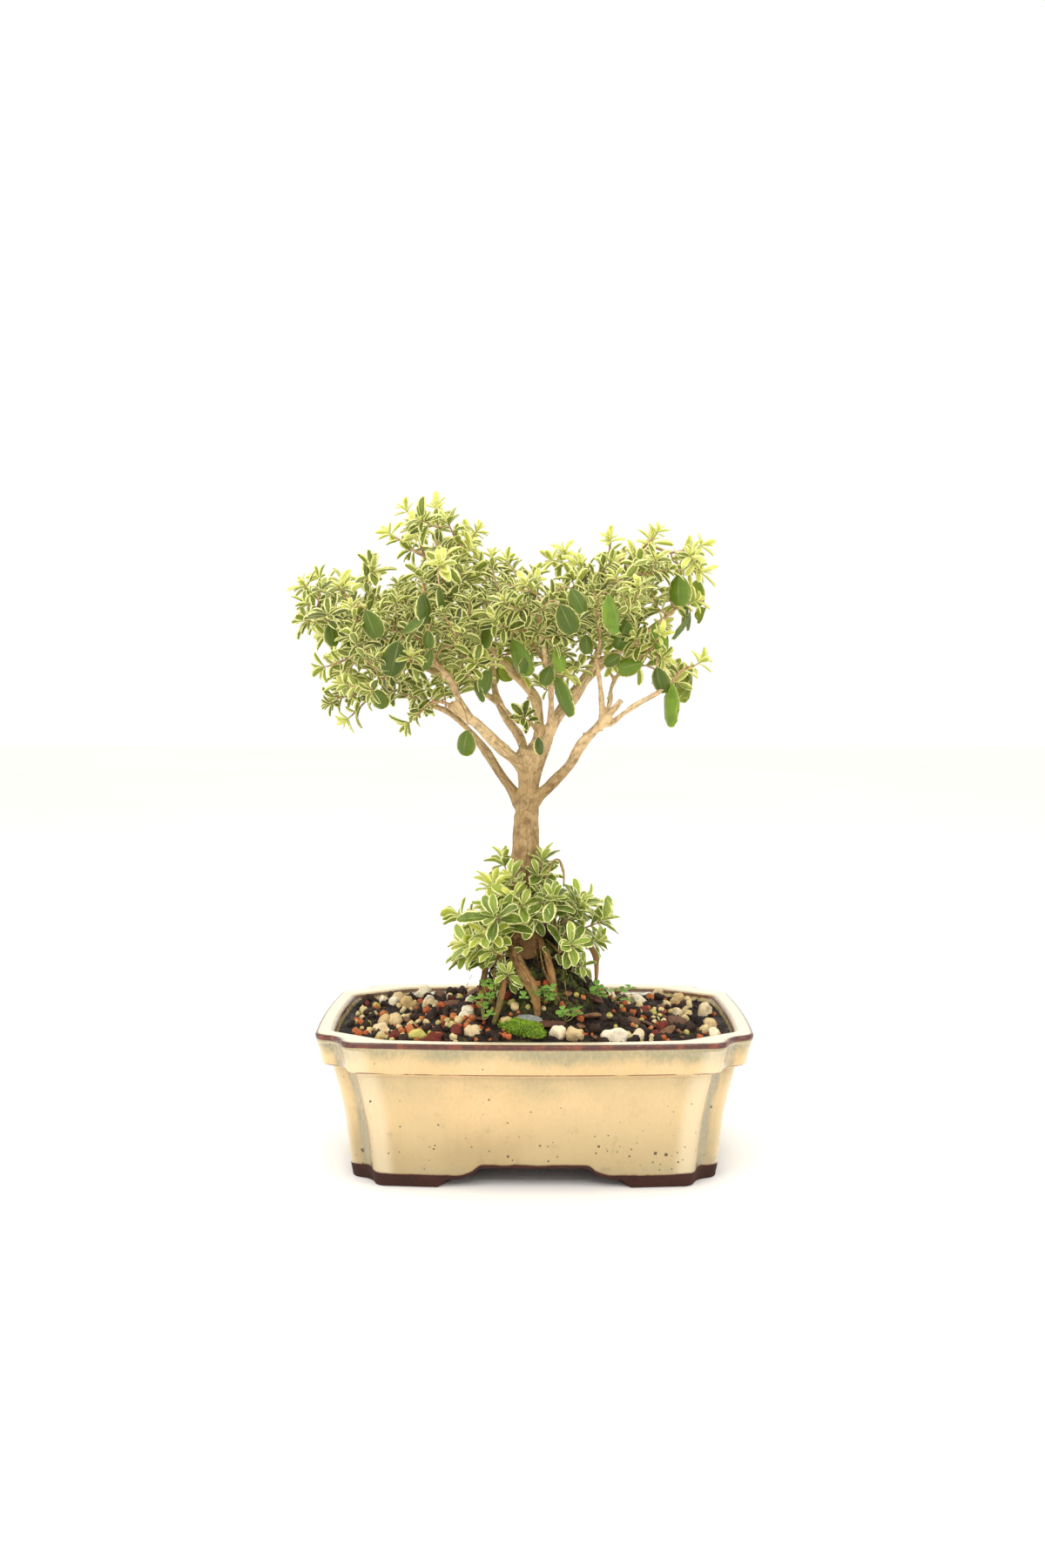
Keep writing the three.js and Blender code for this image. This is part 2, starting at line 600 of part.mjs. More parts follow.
function addLeaf(twig, ownLeaves, point, direction, spin, spread, droop, size, options) {
  const { spec, random, parts } = twig;
  const [length, width] = size;
  for (let attempt = 0; attempt < 7; attempt += 1) {
    const turn = attempt === 0 ? 0 : (random() - 0.5) * 0.5 * attempt;
    const open = spread + (attempt === 0 ? 0 : (random() - 0.5) * 0.25 * attempt);
    const frame = leafFrame(point, direction, spin + turn, open, droop);
    const room = blade(frame, length, width, options, CLEARANCE);
    const leaf = blade(frame, length, width, options, 0);
    const clear = !crosses(spec.name, room) && room.intersect(woodRoom).volume() < TOUCHING;
    if (clear && !meets(ownLeaves, leaf) && room.intersect(moundSolid).volume() < TOUCHING) {
      parts.push(leaf);
      ownLeaves.push({ solid: leaf, box: boxOf(leaf) });
      keepRoom(spec.name, room);
      return;
    }
  }
}

function leafedTwig(twig) {
  const { spec, random, parts, stems } = twig;
  const ownLeaves = [];
  const scale = () => 0.82 + 0.36 * random();
  if (spec.broad) {
    const main = stems[0].curve;
    const t = 0.45 + 0.25 * random();
    const point = main.getPointAt(t);
    const direction = main.getTangentAt(t);
    const options = { sides: 4, rings: 4, fold: 0.1, bend: 0.12 };
    for (let k = 0; k < spec.broad; k += 1) {
      const spin = -Math.PI / 2 + 2.2 * k + 0.5 * (random() - 0.5);
      const grown = scale();
      const size = [BROAD_LEAF_LENGTH * grown, BROAD_LEAF_WIDTH * grown];
      addLeaf(twig, ownLeaves, point, direction, spin, 1.2, 1.1, size, options);
    }
  }
  stems.forEach(({ curve, stations }, index) => {
    stations.forEach((t, k) => {
      const point = curve.getPointAt(t);
      const direction = curve.getTangentAt(t);
      const spin = spec.seed + index * 1.3 + k * (Math.PI / 2);
      const grown = scale();
      const size = [spec.leafLength * grown, spec.leafWidth * grown];
      [0, Math.PI].forEach((half) => {
        const spread = 1.05 - 0.45 * t + 0.25 * random();
        addLeaf(twig, ownLeaves, point, direction, spin + half, spread, 0, size, spec.leaf);
      });
    });
  });
  return largestBody(joined(parts).subtract(woodRoom).simplify(SHORT_EDGE));
}

// Canopy: the limb that a spray grows from, how far along it, the point that its
// outer leaves reach, and how many large plain leaves hang below it
const SPRAYS = [
  ["left_low", 1, [-99, 30, 212], 1],
  ["left_low", 0.9, [-103, 10, 224], 1],
  ["left_up", 1, [-102, -26, 238], 1],
  ["left_up", 0.84, [-76, -52, 226], 1],
  ["left_up", 0.62, [-56, -54, 256], 1],
  ["left_up", 0.4, [-24, -50, 240], 2],
  ["left_main", 1, [-62, -32, 212], 1],
  ["left_top", 1, [-114, 8, 264], 0],
  ["left_top", 0.86, [-104, 42, 246], 1],
  ["left_top", 0.6, [-82, -16, 268], 1],
  ["left_top", 0.42, [-66, 0, 282], 1],
  ["left_twig", 0.96, [-110, 20, 286], 0],
  ["high_side", 1, [-74, 14, 307], 0],
  ["high_side", 0.6, [-62, -4, 317], 0],
  ["high", 1, [-44, 10, 316], 0],
  ["high", 0.82, [-25, -2, 306], 0],
  ["high", 0.62, [-46, -30, 284], 1],
  ["high", 0.45, [-8, -14, 268], 1],
  ["back", 1, [-22, 40, 300], 0],
  ["back", 0.8, [2, 60, 262], 1],
  ["back_side", 1, [-78, 56, 262], 1],
  ["right", 1, [36, -6, 303], 0],
  ["right", 0.88, [12, -2, 297], 0],
  ["right", 0.6, [46, 44, 240], 1],
  ["right_high", 1, [86, 14, 298], 0],
  ["right_high", 0.6, [60, -12, 304], 1],
  ["right_side", 1, [80, -12, 272], 2],
  ["right_back", 1, [84, 50, 282], 1],
  ["right_reach", 1, [80, -28, 243], 2],
  ["right_lift", 1, [60, -36, 254], 2],
  ["right_rise", 1, [28, -48, 266], 2],
  ["front", 1, [-4, -54, 278], 2],
  ["front", 0.6, [-8, -24, 262], 1],
  ["centre", 0.2, [-6, -17, 217], 1],
];

// Outline of the crown seen from the front: x and height
const CROWN = [
  [-118, 266], [-112, 287], [-94, 291], [-84, 285], [-76, 290], [-67, 284], [-66, 299],
  [-75, 308], [-68, 316], [-61, 319], [-53, 319], [-41, 318], [-30, 310], [-21, 304], [-26, 295],
  [-21, 298], [-10, 295], [-3, 291], [1, 288], [6, 300], [16, 300], [19, 292], [25, 292],
  [32, 297], [35, 304], [46, 299], [56, 307], [65, 304], [74, 304], [84, 301], [89, 297],
  [87, 284], [77, 280], [75, 270], [73, 264], [64, 265], [68, 255], [67, 251], [73, 244],
  [76, 233], [67, 231], [58, 231], [47, 238], [36, 242], [27, 238], [19, 227], [14, 221],
  [3, 224], [-8, 238], [-22, 239], [-30, 229], [-37, 224], [-47, 216], [-61, 216], [-81, 216],
  [-99, 209], [-105, 216], [-107, 231], [-102, 242], [-110, 257],
];

// How far inside the crown's outline a place lies, below 0 outside it
function crownDepth(x, z) {
  const place = new THREE.Vector3(x, 0, z);
  const nearest = new THREE.Vector3();
  const side = new THREE.Line3();
  let inside = false;
  let distance = Infinity;
  CROWN.forEach(([ax, az], i) => {
    const [bx, bz] = CROWN[(i + 1) % CROWN.length];
    if (az > z !== bz > z && x < ((bx - ax) * (z - az)) / (bz - az) + ax) inside = !inside;
    side.set(new THREE.Vector3(ax, 0, az), new THREE.Vector3(bx, 0, bz));
    side.closestPointToPoint(place, true, nearest);
    distance = Math.min(distance, nearest.distanceTo(place));
  });
  return inside ? distance : -distance;
}

// Goals of the side twigs, spread evenly through the crown, a list for each spray.
// Near the crown's surface a side twig bears two pairs of leaves, deep inside it one.
function crownGoals() {
  const random = randomFrom(CROWN_SEED);
  const taken = SPRAYS.map(([, , tip]) => vec(tip));
  const lists = SPRAYS.map(() => []);
  const stems = SPRAYS.map(([limb, t, tip]) => (
    new THREE.Line3(curves[limb].getPointAt(Math.min(t, 0.985)), vec(tip))
  ));
  const near = new THREE.Vector3();
  const extent = new THREE.Box2().setFromPoints(CROWN.map(([x, z]) => new THREE.Vector2(x, z)));
  for (let i = 0; i < CROWN_TRIES; i += 1) {
    const x = THREE.MathUtils.lerp(extent.min.x, extent.max.x, random());
    const z = THREE.MathUtils.lerp(extent.min.y, extent.max.y, random());
    const inside = crownDepth(x, z) - CROWN_MARGIN;
    const share = THREE.MathUtils.smoothstep(inside, 0, CROWN_SLOPE);
    const depth = CROWN_EDGE_DEPTH + CROWN_MORE_DEPTH * share;
    const goal = new THREE.Vector3(x, depth * (2 * random() - 1), z);
    if (inside < 0 || taken.some((other) => other.distanceTo(goal) < CROWN_SPACING)) continue;
    const reaches = stems.map((stem, index) => {
      const t = THREE.MathUtils.clamp(stem.closestPointToPointParameter(goal, true), 0.25, 0.9);
      const full = lists[index].length < TWIGS_PER_SPRAY ? 0 : Infinity;
      return stem.at(t, near).distanceTo(goal) + full;
    });
    const owner = reaches.indexOf(Math.min(...reaches));
    const shown = inside < 9 || Math.abs(goal.y) > 0.6 * depth;
    lists[owner].push({ goal, stations: shown ? [0.6, 0.95] : [0.93] });
    taken.push(goal);
  }
  return lists;
}

// Basal shoots: where each leaves the crown or a root, and its tip
const SHOOTS = [
  [[-9, -11, 109], [-33, -24, 134]],
  [[-12, -8, 107], [-46, -14, 113]],
  [[-14, -14, 104], [-36, -28, 98]],
  [[-5, -8, 118], [-14, -26, 126]],
  [[0, -8, 117], [9, -26, 121]],
  [[6, -6, 113], [27, -20, 126]],
  [[16, -9, 109], [40, -14, 118]],
  [[0, -2, 126], [12, -4, 150]],
  [[-8, 2, 124], [-15, 12, 149]],
  [[-2, 10, 110], [-12, 32, 124]],
  [[10, 9, 108], [28, 30, 116]],
];

// Small clover plants beside the roots: foot of the stem, its top and its side stems' tops
const CLOVERS = [
  [[-24, -31, 73], [-24, -35, 92], [[-29, -36, 87], [-20, -38, 86]]],
];

function nodeName(kind, index) {
  return `${kind}_${String(index + 1).padStart(2, "0")}`;
}

const goalLists = crownGoals();
const sprays = SPRAYS.map(([limb, t, tip, broad], index) => startTwig({
  name: nodeName("spray", index),
  seed: 100 + index,
  from: curves[limb].getPointAt(Math.min(t, 0.985)),
  tip,
  broad,
  radius: TWIG_RADIUS,
  goals: goalLists[index],
  pairs: [0.66, 0.97],
  leafReach: 0.72,
  leafLength: LEAF_LENGTH,
  leafWidth: LEAF_WIDTH,
  leaf: {},
  material: MATERIALS.leaf,
}));

const shoots = SHOOTS.map(([from, tip], index) => startTwig({
  name: nodeName("shoot", index),
  seed: 300 + index,
  from: vec(from),
  tip,
  broad: 0,
  radius: 1,
  goals: [],
  pairs: [0.5, 0.74, 0.96],
  leafReach: 0.1,
  leafLength: SHOOT_LEAF_LENGTH,
  leafWidth: SHOOT_LEAF_WIDTH,
  leaf: {},
  material: MATERIALS.shoot,
}));

const clovers = CLOVERS.map(([from, tip, tops], index) => startTwig({
  name: nodeName("clover", index),
  seed: 400 + index,
  from: vec(from),
  tip,
  broad: 0,
  radius: 0.7,
  goals: tops.map((top) => ({ goal: vec(top), stations: [0.94] })),
  pairs: [0.96],
  leafReach: 0,
  leafLength: LEAFLET_LENGTH,
  leafWidth: LEAFLET_WIDTH,
  leaf: { fold: 0.1, bend: 0.1 },
  material: MATERIALS.clover,
}));

const twigs = [...sprays, ...shoots, ...clovers];
twigs.forEach(addSideTwigs);
const nodes = twigs.map((twig) => [twig.spec.name, leafedTwig(twig), twig.spec.material]);

let soilSolid = moundSolid.subtract(woodRoom);
placed.forEach((other) => {
  if (other.box.min.z < 120) soilSolid = soilSolid.subtract(other.solid);
});
[-1, 1].forEach((side) => {
  const room = SCREEN_SIZE + 2 * CLEARANCE;
  const pocket = new THREE.BoxGeometry(room, room, 2 * (SCREEN_THICK + 2 * CLEARANCE));
  pocket.translate((side * DRAIN_SPACING) / 2, 0, FLOOR_TOP);
  soilSolid = soilSolid.subtract(solidOf(pocket));
});

const bonsai = new THREE.Group();
bonsai.add(meshOf("pot", buildPot(), MATERIALS.glaze));
bonsai.add(meshOf("soil", soilSolid, MATERIALS.soil));
bonsai.add(meshOf("screen_left", buildScreen(-DRAIN_SPACING / 2), MATERIALS.mesh));
bonsai.add(meshOf("screen_right", buildScreen(DRAIN_SPACING / 2), MATERIALS.mesh));
bonsai.add(meshOf("tree_wood", woodSolid, MATERIALS.bark));
bonsai.add(meshOf("moss_tuft", mossSolid, MATERIALS.moss));
Object.entries(stoneSolids).forEach(([name, solid]) => {
  bonsai.add(meshOf(name, solid, MATERIALS[STONES[name][4]]));
});
nodes.forEach(([name, solid, material]) => {
  bonsai.add(meshOf(name, solid, material));
});

const whole = new THREE.Group();
whole.add(bonsai);
const extent = new THREE.Box3().setFromObject(bonsai);
const centre = extent.getCenter(new THREE.Vector3());
bonsai.position.set(-centre.x, -centre.y, -extent.min.z);

export default whole;
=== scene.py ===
"""Variegated serissa bonsai in a glazed pot, dressed over its solid model."""

import random
from math import cos, exp, hypot, pi, radians, sin

import bmesh
import bpy
from bpy.props import FloatProperty, FloatVectorProperty, IntProperty, PointerProperty
from mathutils import Matrix, Vector, noise
from mathutils.kdtree import KDTree


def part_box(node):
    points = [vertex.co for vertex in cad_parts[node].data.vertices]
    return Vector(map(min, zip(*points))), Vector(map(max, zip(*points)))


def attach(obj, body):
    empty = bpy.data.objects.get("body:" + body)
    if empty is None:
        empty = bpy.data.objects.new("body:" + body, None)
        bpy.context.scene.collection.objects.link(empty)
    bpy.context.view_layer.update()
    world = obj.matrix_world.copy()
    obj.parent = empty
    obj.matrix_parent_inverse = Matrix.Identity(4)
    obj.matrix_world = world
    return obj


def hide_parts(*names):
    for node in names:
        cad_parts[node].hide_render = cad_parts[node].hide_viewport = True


bl_info = {
    "name": "Serissa Bonsai",
    "version": (1, 0, 0),
    "blender": (4, 5, 0),
    "location": "View3D > Sidebar > Bonsai",
    "description": "A variegated serissa bonsai in its glazed pot",
    "category": "Object",
}

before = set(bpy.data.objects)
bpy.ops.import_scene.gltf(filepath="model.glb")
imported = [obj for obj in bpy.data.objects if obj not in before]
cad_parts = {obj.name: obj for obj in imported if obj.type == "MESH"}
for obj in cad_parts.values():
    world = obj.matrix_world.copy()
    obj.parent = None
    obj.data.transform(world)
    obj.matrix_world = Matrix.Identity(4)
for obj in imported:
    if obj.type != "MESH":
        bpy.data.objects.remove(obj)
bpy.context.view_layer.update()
POT_LOW, POT_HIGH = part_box("pot")
MIDDLE = Vector(((POT_LOW.x + POT_HIGH.x) / 2, (POT_LOW.y + POT_HIGH.y) / 2, POT_LOW.z))
MM = 0.001
UP = Vector((0, 0, 1))

# Pot, in millimetres
POT_WIDTH = 203
POT_DEPTH = 128
FOOT_HEIGHT = 9.2
FRONT_BOW = 4
SIDE_BOW = 1.5
FLOOR_TOP = 14.5
RECESS_TOP = 9.5
DRAIN_RADIUS = 8
DRAIN_SPACING = 84

# Each limb: its points from root to tip in millimetres from the middle of the pot's
# underside, and its radius at both ends
LIMBS = {
    "trunk": ([(-4, -6, 98), (-4, -5, 112), (-5, -4, 127), (-4, -2, 144), (-4, 0, 162), (-3, 0, 176),
        (-2, 0, 188), (-1, 0, 199)], 6.6, 5.4),
    "left_low": ([(-3, 1, 166), (-11, 5, 179), (-17, 9, 187), (-23, 14, 196), (-33, 21, 208),
        (-42, 26, 216), (-51, 30, 220), (-60, 32, 224), (-68, 33, 229)], 3.2, 1.3),
    "left_main": ([(-1, 0, 186), (-8, -2, 193), (-15, -5, 199), (-21, -9, 205), (-28, -13, 212),
        (-35, -16, 217), (-40, -18, 221)], 3.9, 2.5),
    "left_up": ([(-30, -14, 213), (-36, -19, 224), (-39, -24, 232), (-43, -27, 237), (-51, -32, 242),
        (-60, -35, 244)], 2.1, 1.3),
    "left_top": ([(-41, -26, 234), (-49, -8, 237), (-63, 6, 243), (-76, 12, 250), (-85, 16, 255),
        (-91, 18, 260)], 1.9, 1.2),
    "left_twig": ([(-87, 17, 256), (-92, 18, 264), (-93, 18, 275)], 1.4, 1.1),
    "centre": ([(-1, 0, 196), (2, 4, 205), (2, 7, 215), (0, 9, 225), (-6, 12, 232),
        (-12, 14, 237)], 3.4, 2.3),
    "high": ([(-9, 13, 235), (-17, 13, 244), (-25, 10, 254), (-34, 5, 268), (-42, 2, 282),
        (-45, 2, 290), (-48, 2, 303)], 2.2, 1.3),
    "high_side": ([(-43, 2, 286), (-52, 5, 292), (-61, 8, 297)], 1.4, 1.1),
    "back": ([(-3, 2, 190), (-7, 12, 204), (-14, 22, 214), (-20, 34, 228), (-22, 46, 246),
        (-24, 52, 266)], 3.0, 1.3),
    "back_side": ([(-17, 28, 221), (-34, 36, 232), (-52, 44, 244)], 1.8, 1.2),
    "right": ([(0, 0, 190), (5, 2, 202), (10, 4, 213), (20, 8, 226), (26, 10, 235), (30, 12, 243),
        (34, 12, 252), (37, 10, 267), (38, 8, 282)], 4.6, 1.5),
    "right_side": ([(28, 11, 240), (38, 5, 245), (48, -2, 251), (62, -10, 262)], 2.0, 1.2),
    "right_back": ([(18, 7, 224), (30, 20, 236), (44, 32, 250), (60, 40, 270)], 2.2, 1.2),
    "right_high": ([(38, 8, 274), (44, 8, 285), (50, 8, 291), (59, 8, 298)], 1.6, 1.1),
    "front": ([(8, 3, 208), (8, -10, 226), (5, -26, 243), (2, -40, 258)], 2.1, 1.2),
    "right_low": ([(-3, 0, 168), (2, -3, 176), (8, -6, 182), (17, -10, 192), (22, -13, 201),
        (30, -16, 210), (34, -18, 214)], 3.3, 2.5),
    "right_cut": ([(31, -17, 211), (37, -20, 218), (41, -21, 223)], 2.1, 1.7),
    "right_rise": ([(32, -17, 211), (32, -17, 222), (31, -17, 231), (29, -20, 243)], 1.6, 1.2),
    "right_reach": ([(33, -18, 212), (36, -20, 212), (41, -24, 216), (48, -26, 221), (57, -26, 226),
        (65, -26, 232)], 1.7, 1.1),
    "right_lift": ([(33, -18, 213), (36, -14, 222), (37, -9, 229), (42, -4, 238)], 1.5, 1.1),
    "stub_a": ([(-29, 9, 260), (-36, -1, 262)], 1.3, 1.1),
    "stub_b": ([(-9, 14, 212), (-17, 10, 222)], 1.2, 0.9),
    "cut_twig": ([(38, 8, 279), (40, 6, 286), (44, 3, 295)], 1.4, 1.2),
    "dry_twig": ([(4, -14, 128), (7, -18, 142), (11, -20, 148), (14, -20, 141),
        (14, -20, 134)], 0.9, 0.8),
}

# Roots that run from the crown out over the mound, with their radius at both ends
ROOTS = [
    ([(-5, -4, 118), (-11, -14, 107), (-9, -24, 102), (-5, -30, 95), (0, -33, 86),
        (2, -33, 74)], 3.4, 2.6),
    ([(-6, -4, 118), (-15, -13, 108), (-16, -20, 102), (-14, -27, 93), (-16, -34, 82),
        (-19, -38, 72)], 2.2, 1.4),
    ([(-6, -3, 116), (-18, -9, 106), (-23, -14, 96), (-24, -19, 84), (-24, -22, 74)], 2.0, 1.4),
    ([(0, -4, 116), (12, -8, 110), (23, -11, 108), (29, -14, 101), (30, -15, 92),
        (28, -17, 78)], 1.7, 1.1),
    ([(-3, -5, 114), (4, -16, 106), (8, -24, 94), (10, -28, 82), (11, -29, 74)], 2.4, 1.5),
    ([(-3, -2, 116), (10, 8, 108), (20, 16, 96), (27, 22, 84), (31, 25, 74)], 2.8, 1.6),
    ([(-4, 0, 116), (-2, 14, 108), (-1, 24, 94), (1, 31, 82), (2, 34, 72)], 3.0, 1.8),
    ([(-6, -1, 116), (-16, 8, 106), (-22, 14, 94), (-26, 19, 82), (-28, 22, 72)], 2.6, 1.5),
]

# Sprays: limb, how far along it, the point that the outer leaves reach
SPRAYS = [
    ("left_low", 1, (-99, 30, 212)), ("left_low", 0.9, (-103, 10, 224)),
    ("left_up", 1, (-102, -26, 238)), ("left_up", 0.84, (-76, -52, 226)),
    ("left_up", 0.62, (-56, -54, 256)), ("left_up", 0.4, (-24, -50, 240)),
    ("left_main", 1, (-62, -32, 212)), ("left_top", 1, (-114, 8, 264)),
    ("left_top", 0.86, (-104, 42, 246)), ("left_top", 0.6, (-82, -16, 268)),
    ("left_top", 0.42, (-66, 0, 282)), ("left_twig", 0.96, (-110, 20, 286)),
    ("high_side", 1, (-74, 14, 307)), ("high_side", 0.6, (-62, -4, 317)), ("high", 1, (-44, 10, 316)),
    ("high", 0.82, (-25, -2, 306)), ("high", 0.62, (-46, -30, 284)), ("high", 0.45, (-8, -14, 268)),
    ("back", 1, (-22, 40, 300)), ("back", 0.8, (2, 60, 262)), ("back_side", 1, (-78, 56, 262)),
    ("right", 1, (36, -6, 303)), ("right", 0.88, (12, -2, 297)), ("right", 0.6, (46, 44, 240)),
    ("right_high", 1, (86, 14, 298)), ("right_high", 0.6, (60, -12, 304)),
    ("right_side", 1, (80, -12, 272)), ("right_back", 1, (84, 50, 282)),
    ("right_reach", 1, (80, -28, 243)), ("right_lift", 1, (60, -36, 254)),
    ("right_rise", 1, (28, -48, 266)), ("front", 1, (-4, -54, 278)), ("front", 0.6, (-8, -24, 262)),
    ("centre", 0.2, (-6, -17, 217)),
]

# Shoots at the foot: where each leaves the crown or a root, and its tip
SHOOTS = [
    ((-9, -11, 109), (-33, -24, 134)), ((-12, -8, 107), (-46, -14, 113)),
    ((-14, -14, 104), (-36, -28, 98)), ((-5, -8, 118), (-14, -26, 126)), ((0, -8, 117), (9, -26, 121)),
    ((6, -6, 113), (27, -20, 126)), ((16, -9, 109), (40, -14, 118)), ((0, -2, 126), (12, -4, 150)),
    ((-8, 2, 124), (-15, 12, 149)), ((-2, 10, 110), (-12, 32, 124)), ((10, 9, 108), (28, 30, 116)),
]

# Sprigs between the shoots: x, y and height of the tip, size of the leaves
SPRIGS = [
    (-23, -31, 121, 1.1), (-31, -25, 102, 1.05), (-18, -33, 108, 0.8), (18, -27, 126, 0.85),
    (20, -29, 106, 1.0), (28, -20, 121, 0.95), (26, -18, 99, 0.7), (-10, -22, 138, 0.75),
    (5, -15, 140, 0.8), (-27, -31, 110, 0.95), (-36, -16, 106, 0.95), (-32, 8, 112, 1.0),
    (-26, 22, 106, 1.0), (-2, 30, 112, 1.0), (20, 26, 104, 0.95), (34, 8, 106, 0.95),
    (-38, -2, 103, 0.9), (8, 22, 124, 0.9), (-16, 20, 120, 0.9), (30, 20, 118, 0.9),
    (-20, -33, 94, 0.7),
]

# Large plain leaves: x, height, length, width, degrees that the tip leans to the right
# from straight down, and how shaded the leaf is
BIG_LEAVES = [
    (-2, 274, 10.5, 8.4, 200, 0.45), (-10, 244, 15.6, 9.9, 2, 0.2), (-20, 231, 14.8, 9.0, 0, 0.4),
    (65, 274, 12.8, 11.8, -5, 0.3), (39, 252, 17.1, 10.5, -28, 0.35), (56, 252, 14.8, 7.6, 8, 0.1),
    (60, 224, 16.5, 6.9, -22, 0.1), (56, 233, 11.2, 7.2, 5, 0.7), (45, 239, 10.8, 7.0, -80, 0.3),
    (10, 227, 16.1, 7.4, 0, 0.35), (-32, 204, 12.0, 7.6, -18, 0.4), (-58, 258, 12.0, 11.0, 150, 0.5),
    (-48, 265, 14.8, 8.6, 20, 0.75), (-49, 250, 9.6, 7.2, -10, 0.7), (-63, 243, 14.5, 8.4, -12, 0.75),
    (-75, 258, 12.8, 9.0, 15, 0.55), (-92, 254, 8.8, 6.6, 20, 0.7), (-72, 223, 12.0, 9.8, 25, 0.4),
    (-47, 241, 10.5, 5.0, 0, 0.6), (-27, 227, 10.0, 4.2, 5, 0.7), (-2, 239, 11.6, 7.0, -8, 0.5),
    (12, 242, 11.6, 6.2, 25, 0.1), (14, 261, 12.6, 7.2, 25, 0.7), (37, 265, 14.8, 8.4, 30, 0.15),
    (24, 248, 10.2, 8.2, 10, 0.5), (3, 203, 7.6, 4.8, 25, 1.0), (-24, 252, 12.6, 9.6, -20, 0.5),
    (-41, 271, 9.0, 8.2, 30, 0.8), (19, 270, 9.8, 5.9, 35, 0.5), (6, 235, 8.6, 5.1, -25, 0.6),
    (36, 241, 8.6, 5.9, -50, 0.6),
]

# The camera: its place, its turn in radians, and the plane before the trunk in which the
# table of large leaves was drawn up
EYE = (-1, -670, 223)
YAW, PITCH = 0.007, 0.061
SENSOR = 36
FOCAL_PIXELS, PICTURE_PIXELS = 1580, 1800
SEEN_PLANE = 42

# The crown's outline seen from the front: x and height
CROWN = [
    (-118, 266), (-112, 287), (-94, 291), (-84, 285), (-76, 290), (-67, 284), (-66, 299), (-75, 308),
    (-68, 316), (-61, 319), (-53, 319), (-41, 318), (-30, 310), (-21, 304), (-26, 295), (-21, 298),
    (-10, 295), (-3, 291), (1, 288), (6, 300), (16, 300), (19, 292), (25, 292), (32, 297), (35, 304),
    (46, 299), (56, 307), (65, 304), (74, 304), (84, 301), (89, 297), (87, 284), (77, 280), (75, 270),
    (73, 264), (64, 265), (68, 255), (67, 251), (73, 244), (76, 233), (67, 231), (58, 231), (47, 238),
    (36, 242), (27, 238), (19, 227), (14, 221), (3, 224), (-8, 238), (-22, 239), (-30, 229),
    (-37, 224), (-47, 216), (-61, 216), (-81, 216), (-99, 209), (-105, 216), (-107, 231), (-102, 242),
    (-110, 257),
]

# Places in the crown where a cut twig shows between the leaves: x and height
BARE_PLACES = [(-47, 297), (41, 289)]

# Stones and chips that are nodes of their own: place with the height over the soil, size,
# turn, seed, facets, roughness of the shape, tint and slot
STONES = {
    "stone_white_large": ((37, -47, 1.5), (13, 9, 9), 0.3, 3, 8, 0.16, 0.15, "white_stone"),
    "stone_white_small": ((11, -48, 1.5), (9, 8, 9), 1.1, 5, 7, 0.16, 0.4, "white_stone"),
    "stone_yellow": ((-54, -41, 1), (10, 7, 6), 0.2, 7, 5, 0.12, 0.2, "yellow_stone"),
    "stone_lava": ((-47, -48, 0.8), (13, 8, 6), 0.5, 11, 6, 0.3, 0.3, "lava_stone"),
    "stone_cream": ((-72, -30, 1.2), (10, 8, 8), 2.1, 13, 6, 0.16, 0.9, "white_stone"),
    "chip_bark": ((7, -41, 1.4), (19, 6, 4), 0.15, 17, 6, 0.2, 0.2, "bark_chip"),
    "chip_slate": ((-2, -38, 1.8), (13, 7, 4), -0.35, 19, 6, 0.14, 0.4, "slate_chip"),
}
# For each slot: its finish, two colours, the colour of its spots, size of its pores, roughness
STONE_FINISHES = {
    "white_stone": ("white_stone", "fbf0d6", "e6cd9f", "b3925f", 1.1),
    "yellow_stone": ("yellow_stone", "d3c65c", "e3dba0", "8f8a3a"),
    "lava_stone": ("dark_lava", "scoria", "8a3a2c", "34120f", 0.6, 0.95),
    "bark_chip": ("bark_chip", "chip", "7a4d38", "2a1710", 1.4, 0.8),
    "slate_chip": ("slate_chip", "858a88", "9a9a90", "5b5f5f", 1.6, 0.5),
}
MOSS = ((-6, -43, 1.0), (25, 11, 6.5), -0.8)
CLOVERS = [
    ((-24, -31, 73), (-25, -36, 84)), ((-20, -27, 80), (-21, -32, 90)), ((6, -27, 80), (8, -33, 91)),
    ((-1, -26, 82), (2, -33, 86)), ((30, -12, 78), (34, -18, 87)), ((38, -4, 76), (42, -8, 82)),
    ((14, -34, 73), (16, -38, 79)),
]


def colour(code):
    """The linear colour of an sRGB hex code."""
    parts = [int(code[i : i + 2], 16) / 255 for i in (0, 2, 4)]
    return tuple(c / 12.92 if c < 0.04045 else ((c + 0.055) / 1.055) ** 2.4 for c in parts)


def colour_property(name, description, code):
    return FloatVectorProperty(
        name=name, description=description, default=colour(code), subtype="COLOR", min=0, max=1
    )


class BonsaiPotLook(bpy.types.PropertyGroup):
    glaze: colour_property("Glaze", "Colour of the glaze where it lies evenly", "d3b37e")
    pale_glaze: colour_property("Pale glaze", "Colour of the glaze on the rim's top", "f4e6c8")
    low_glaze: colour_property("Low glaze", "Colour of the glaze near the feet", "a08c62")
    pooled_glaze: colour_property("Pooled glaze", "Where the glaze lies thick", "9a9270")
    deep_glaze: colour_property("Deep glaze", "Where the glaze lies thickest", "7a7a69")
    edge: colour_property("Edge", "Clay that breaks through at the glaze's edges", "4a1907")
    clay: colour_property("Clay", "Bare clay of the feet", "2e1108")
    pits: FloatProperty(
        name="Pits", description="Share of cells near the feet with a pit", default=0.5, min=0, max=1
    )


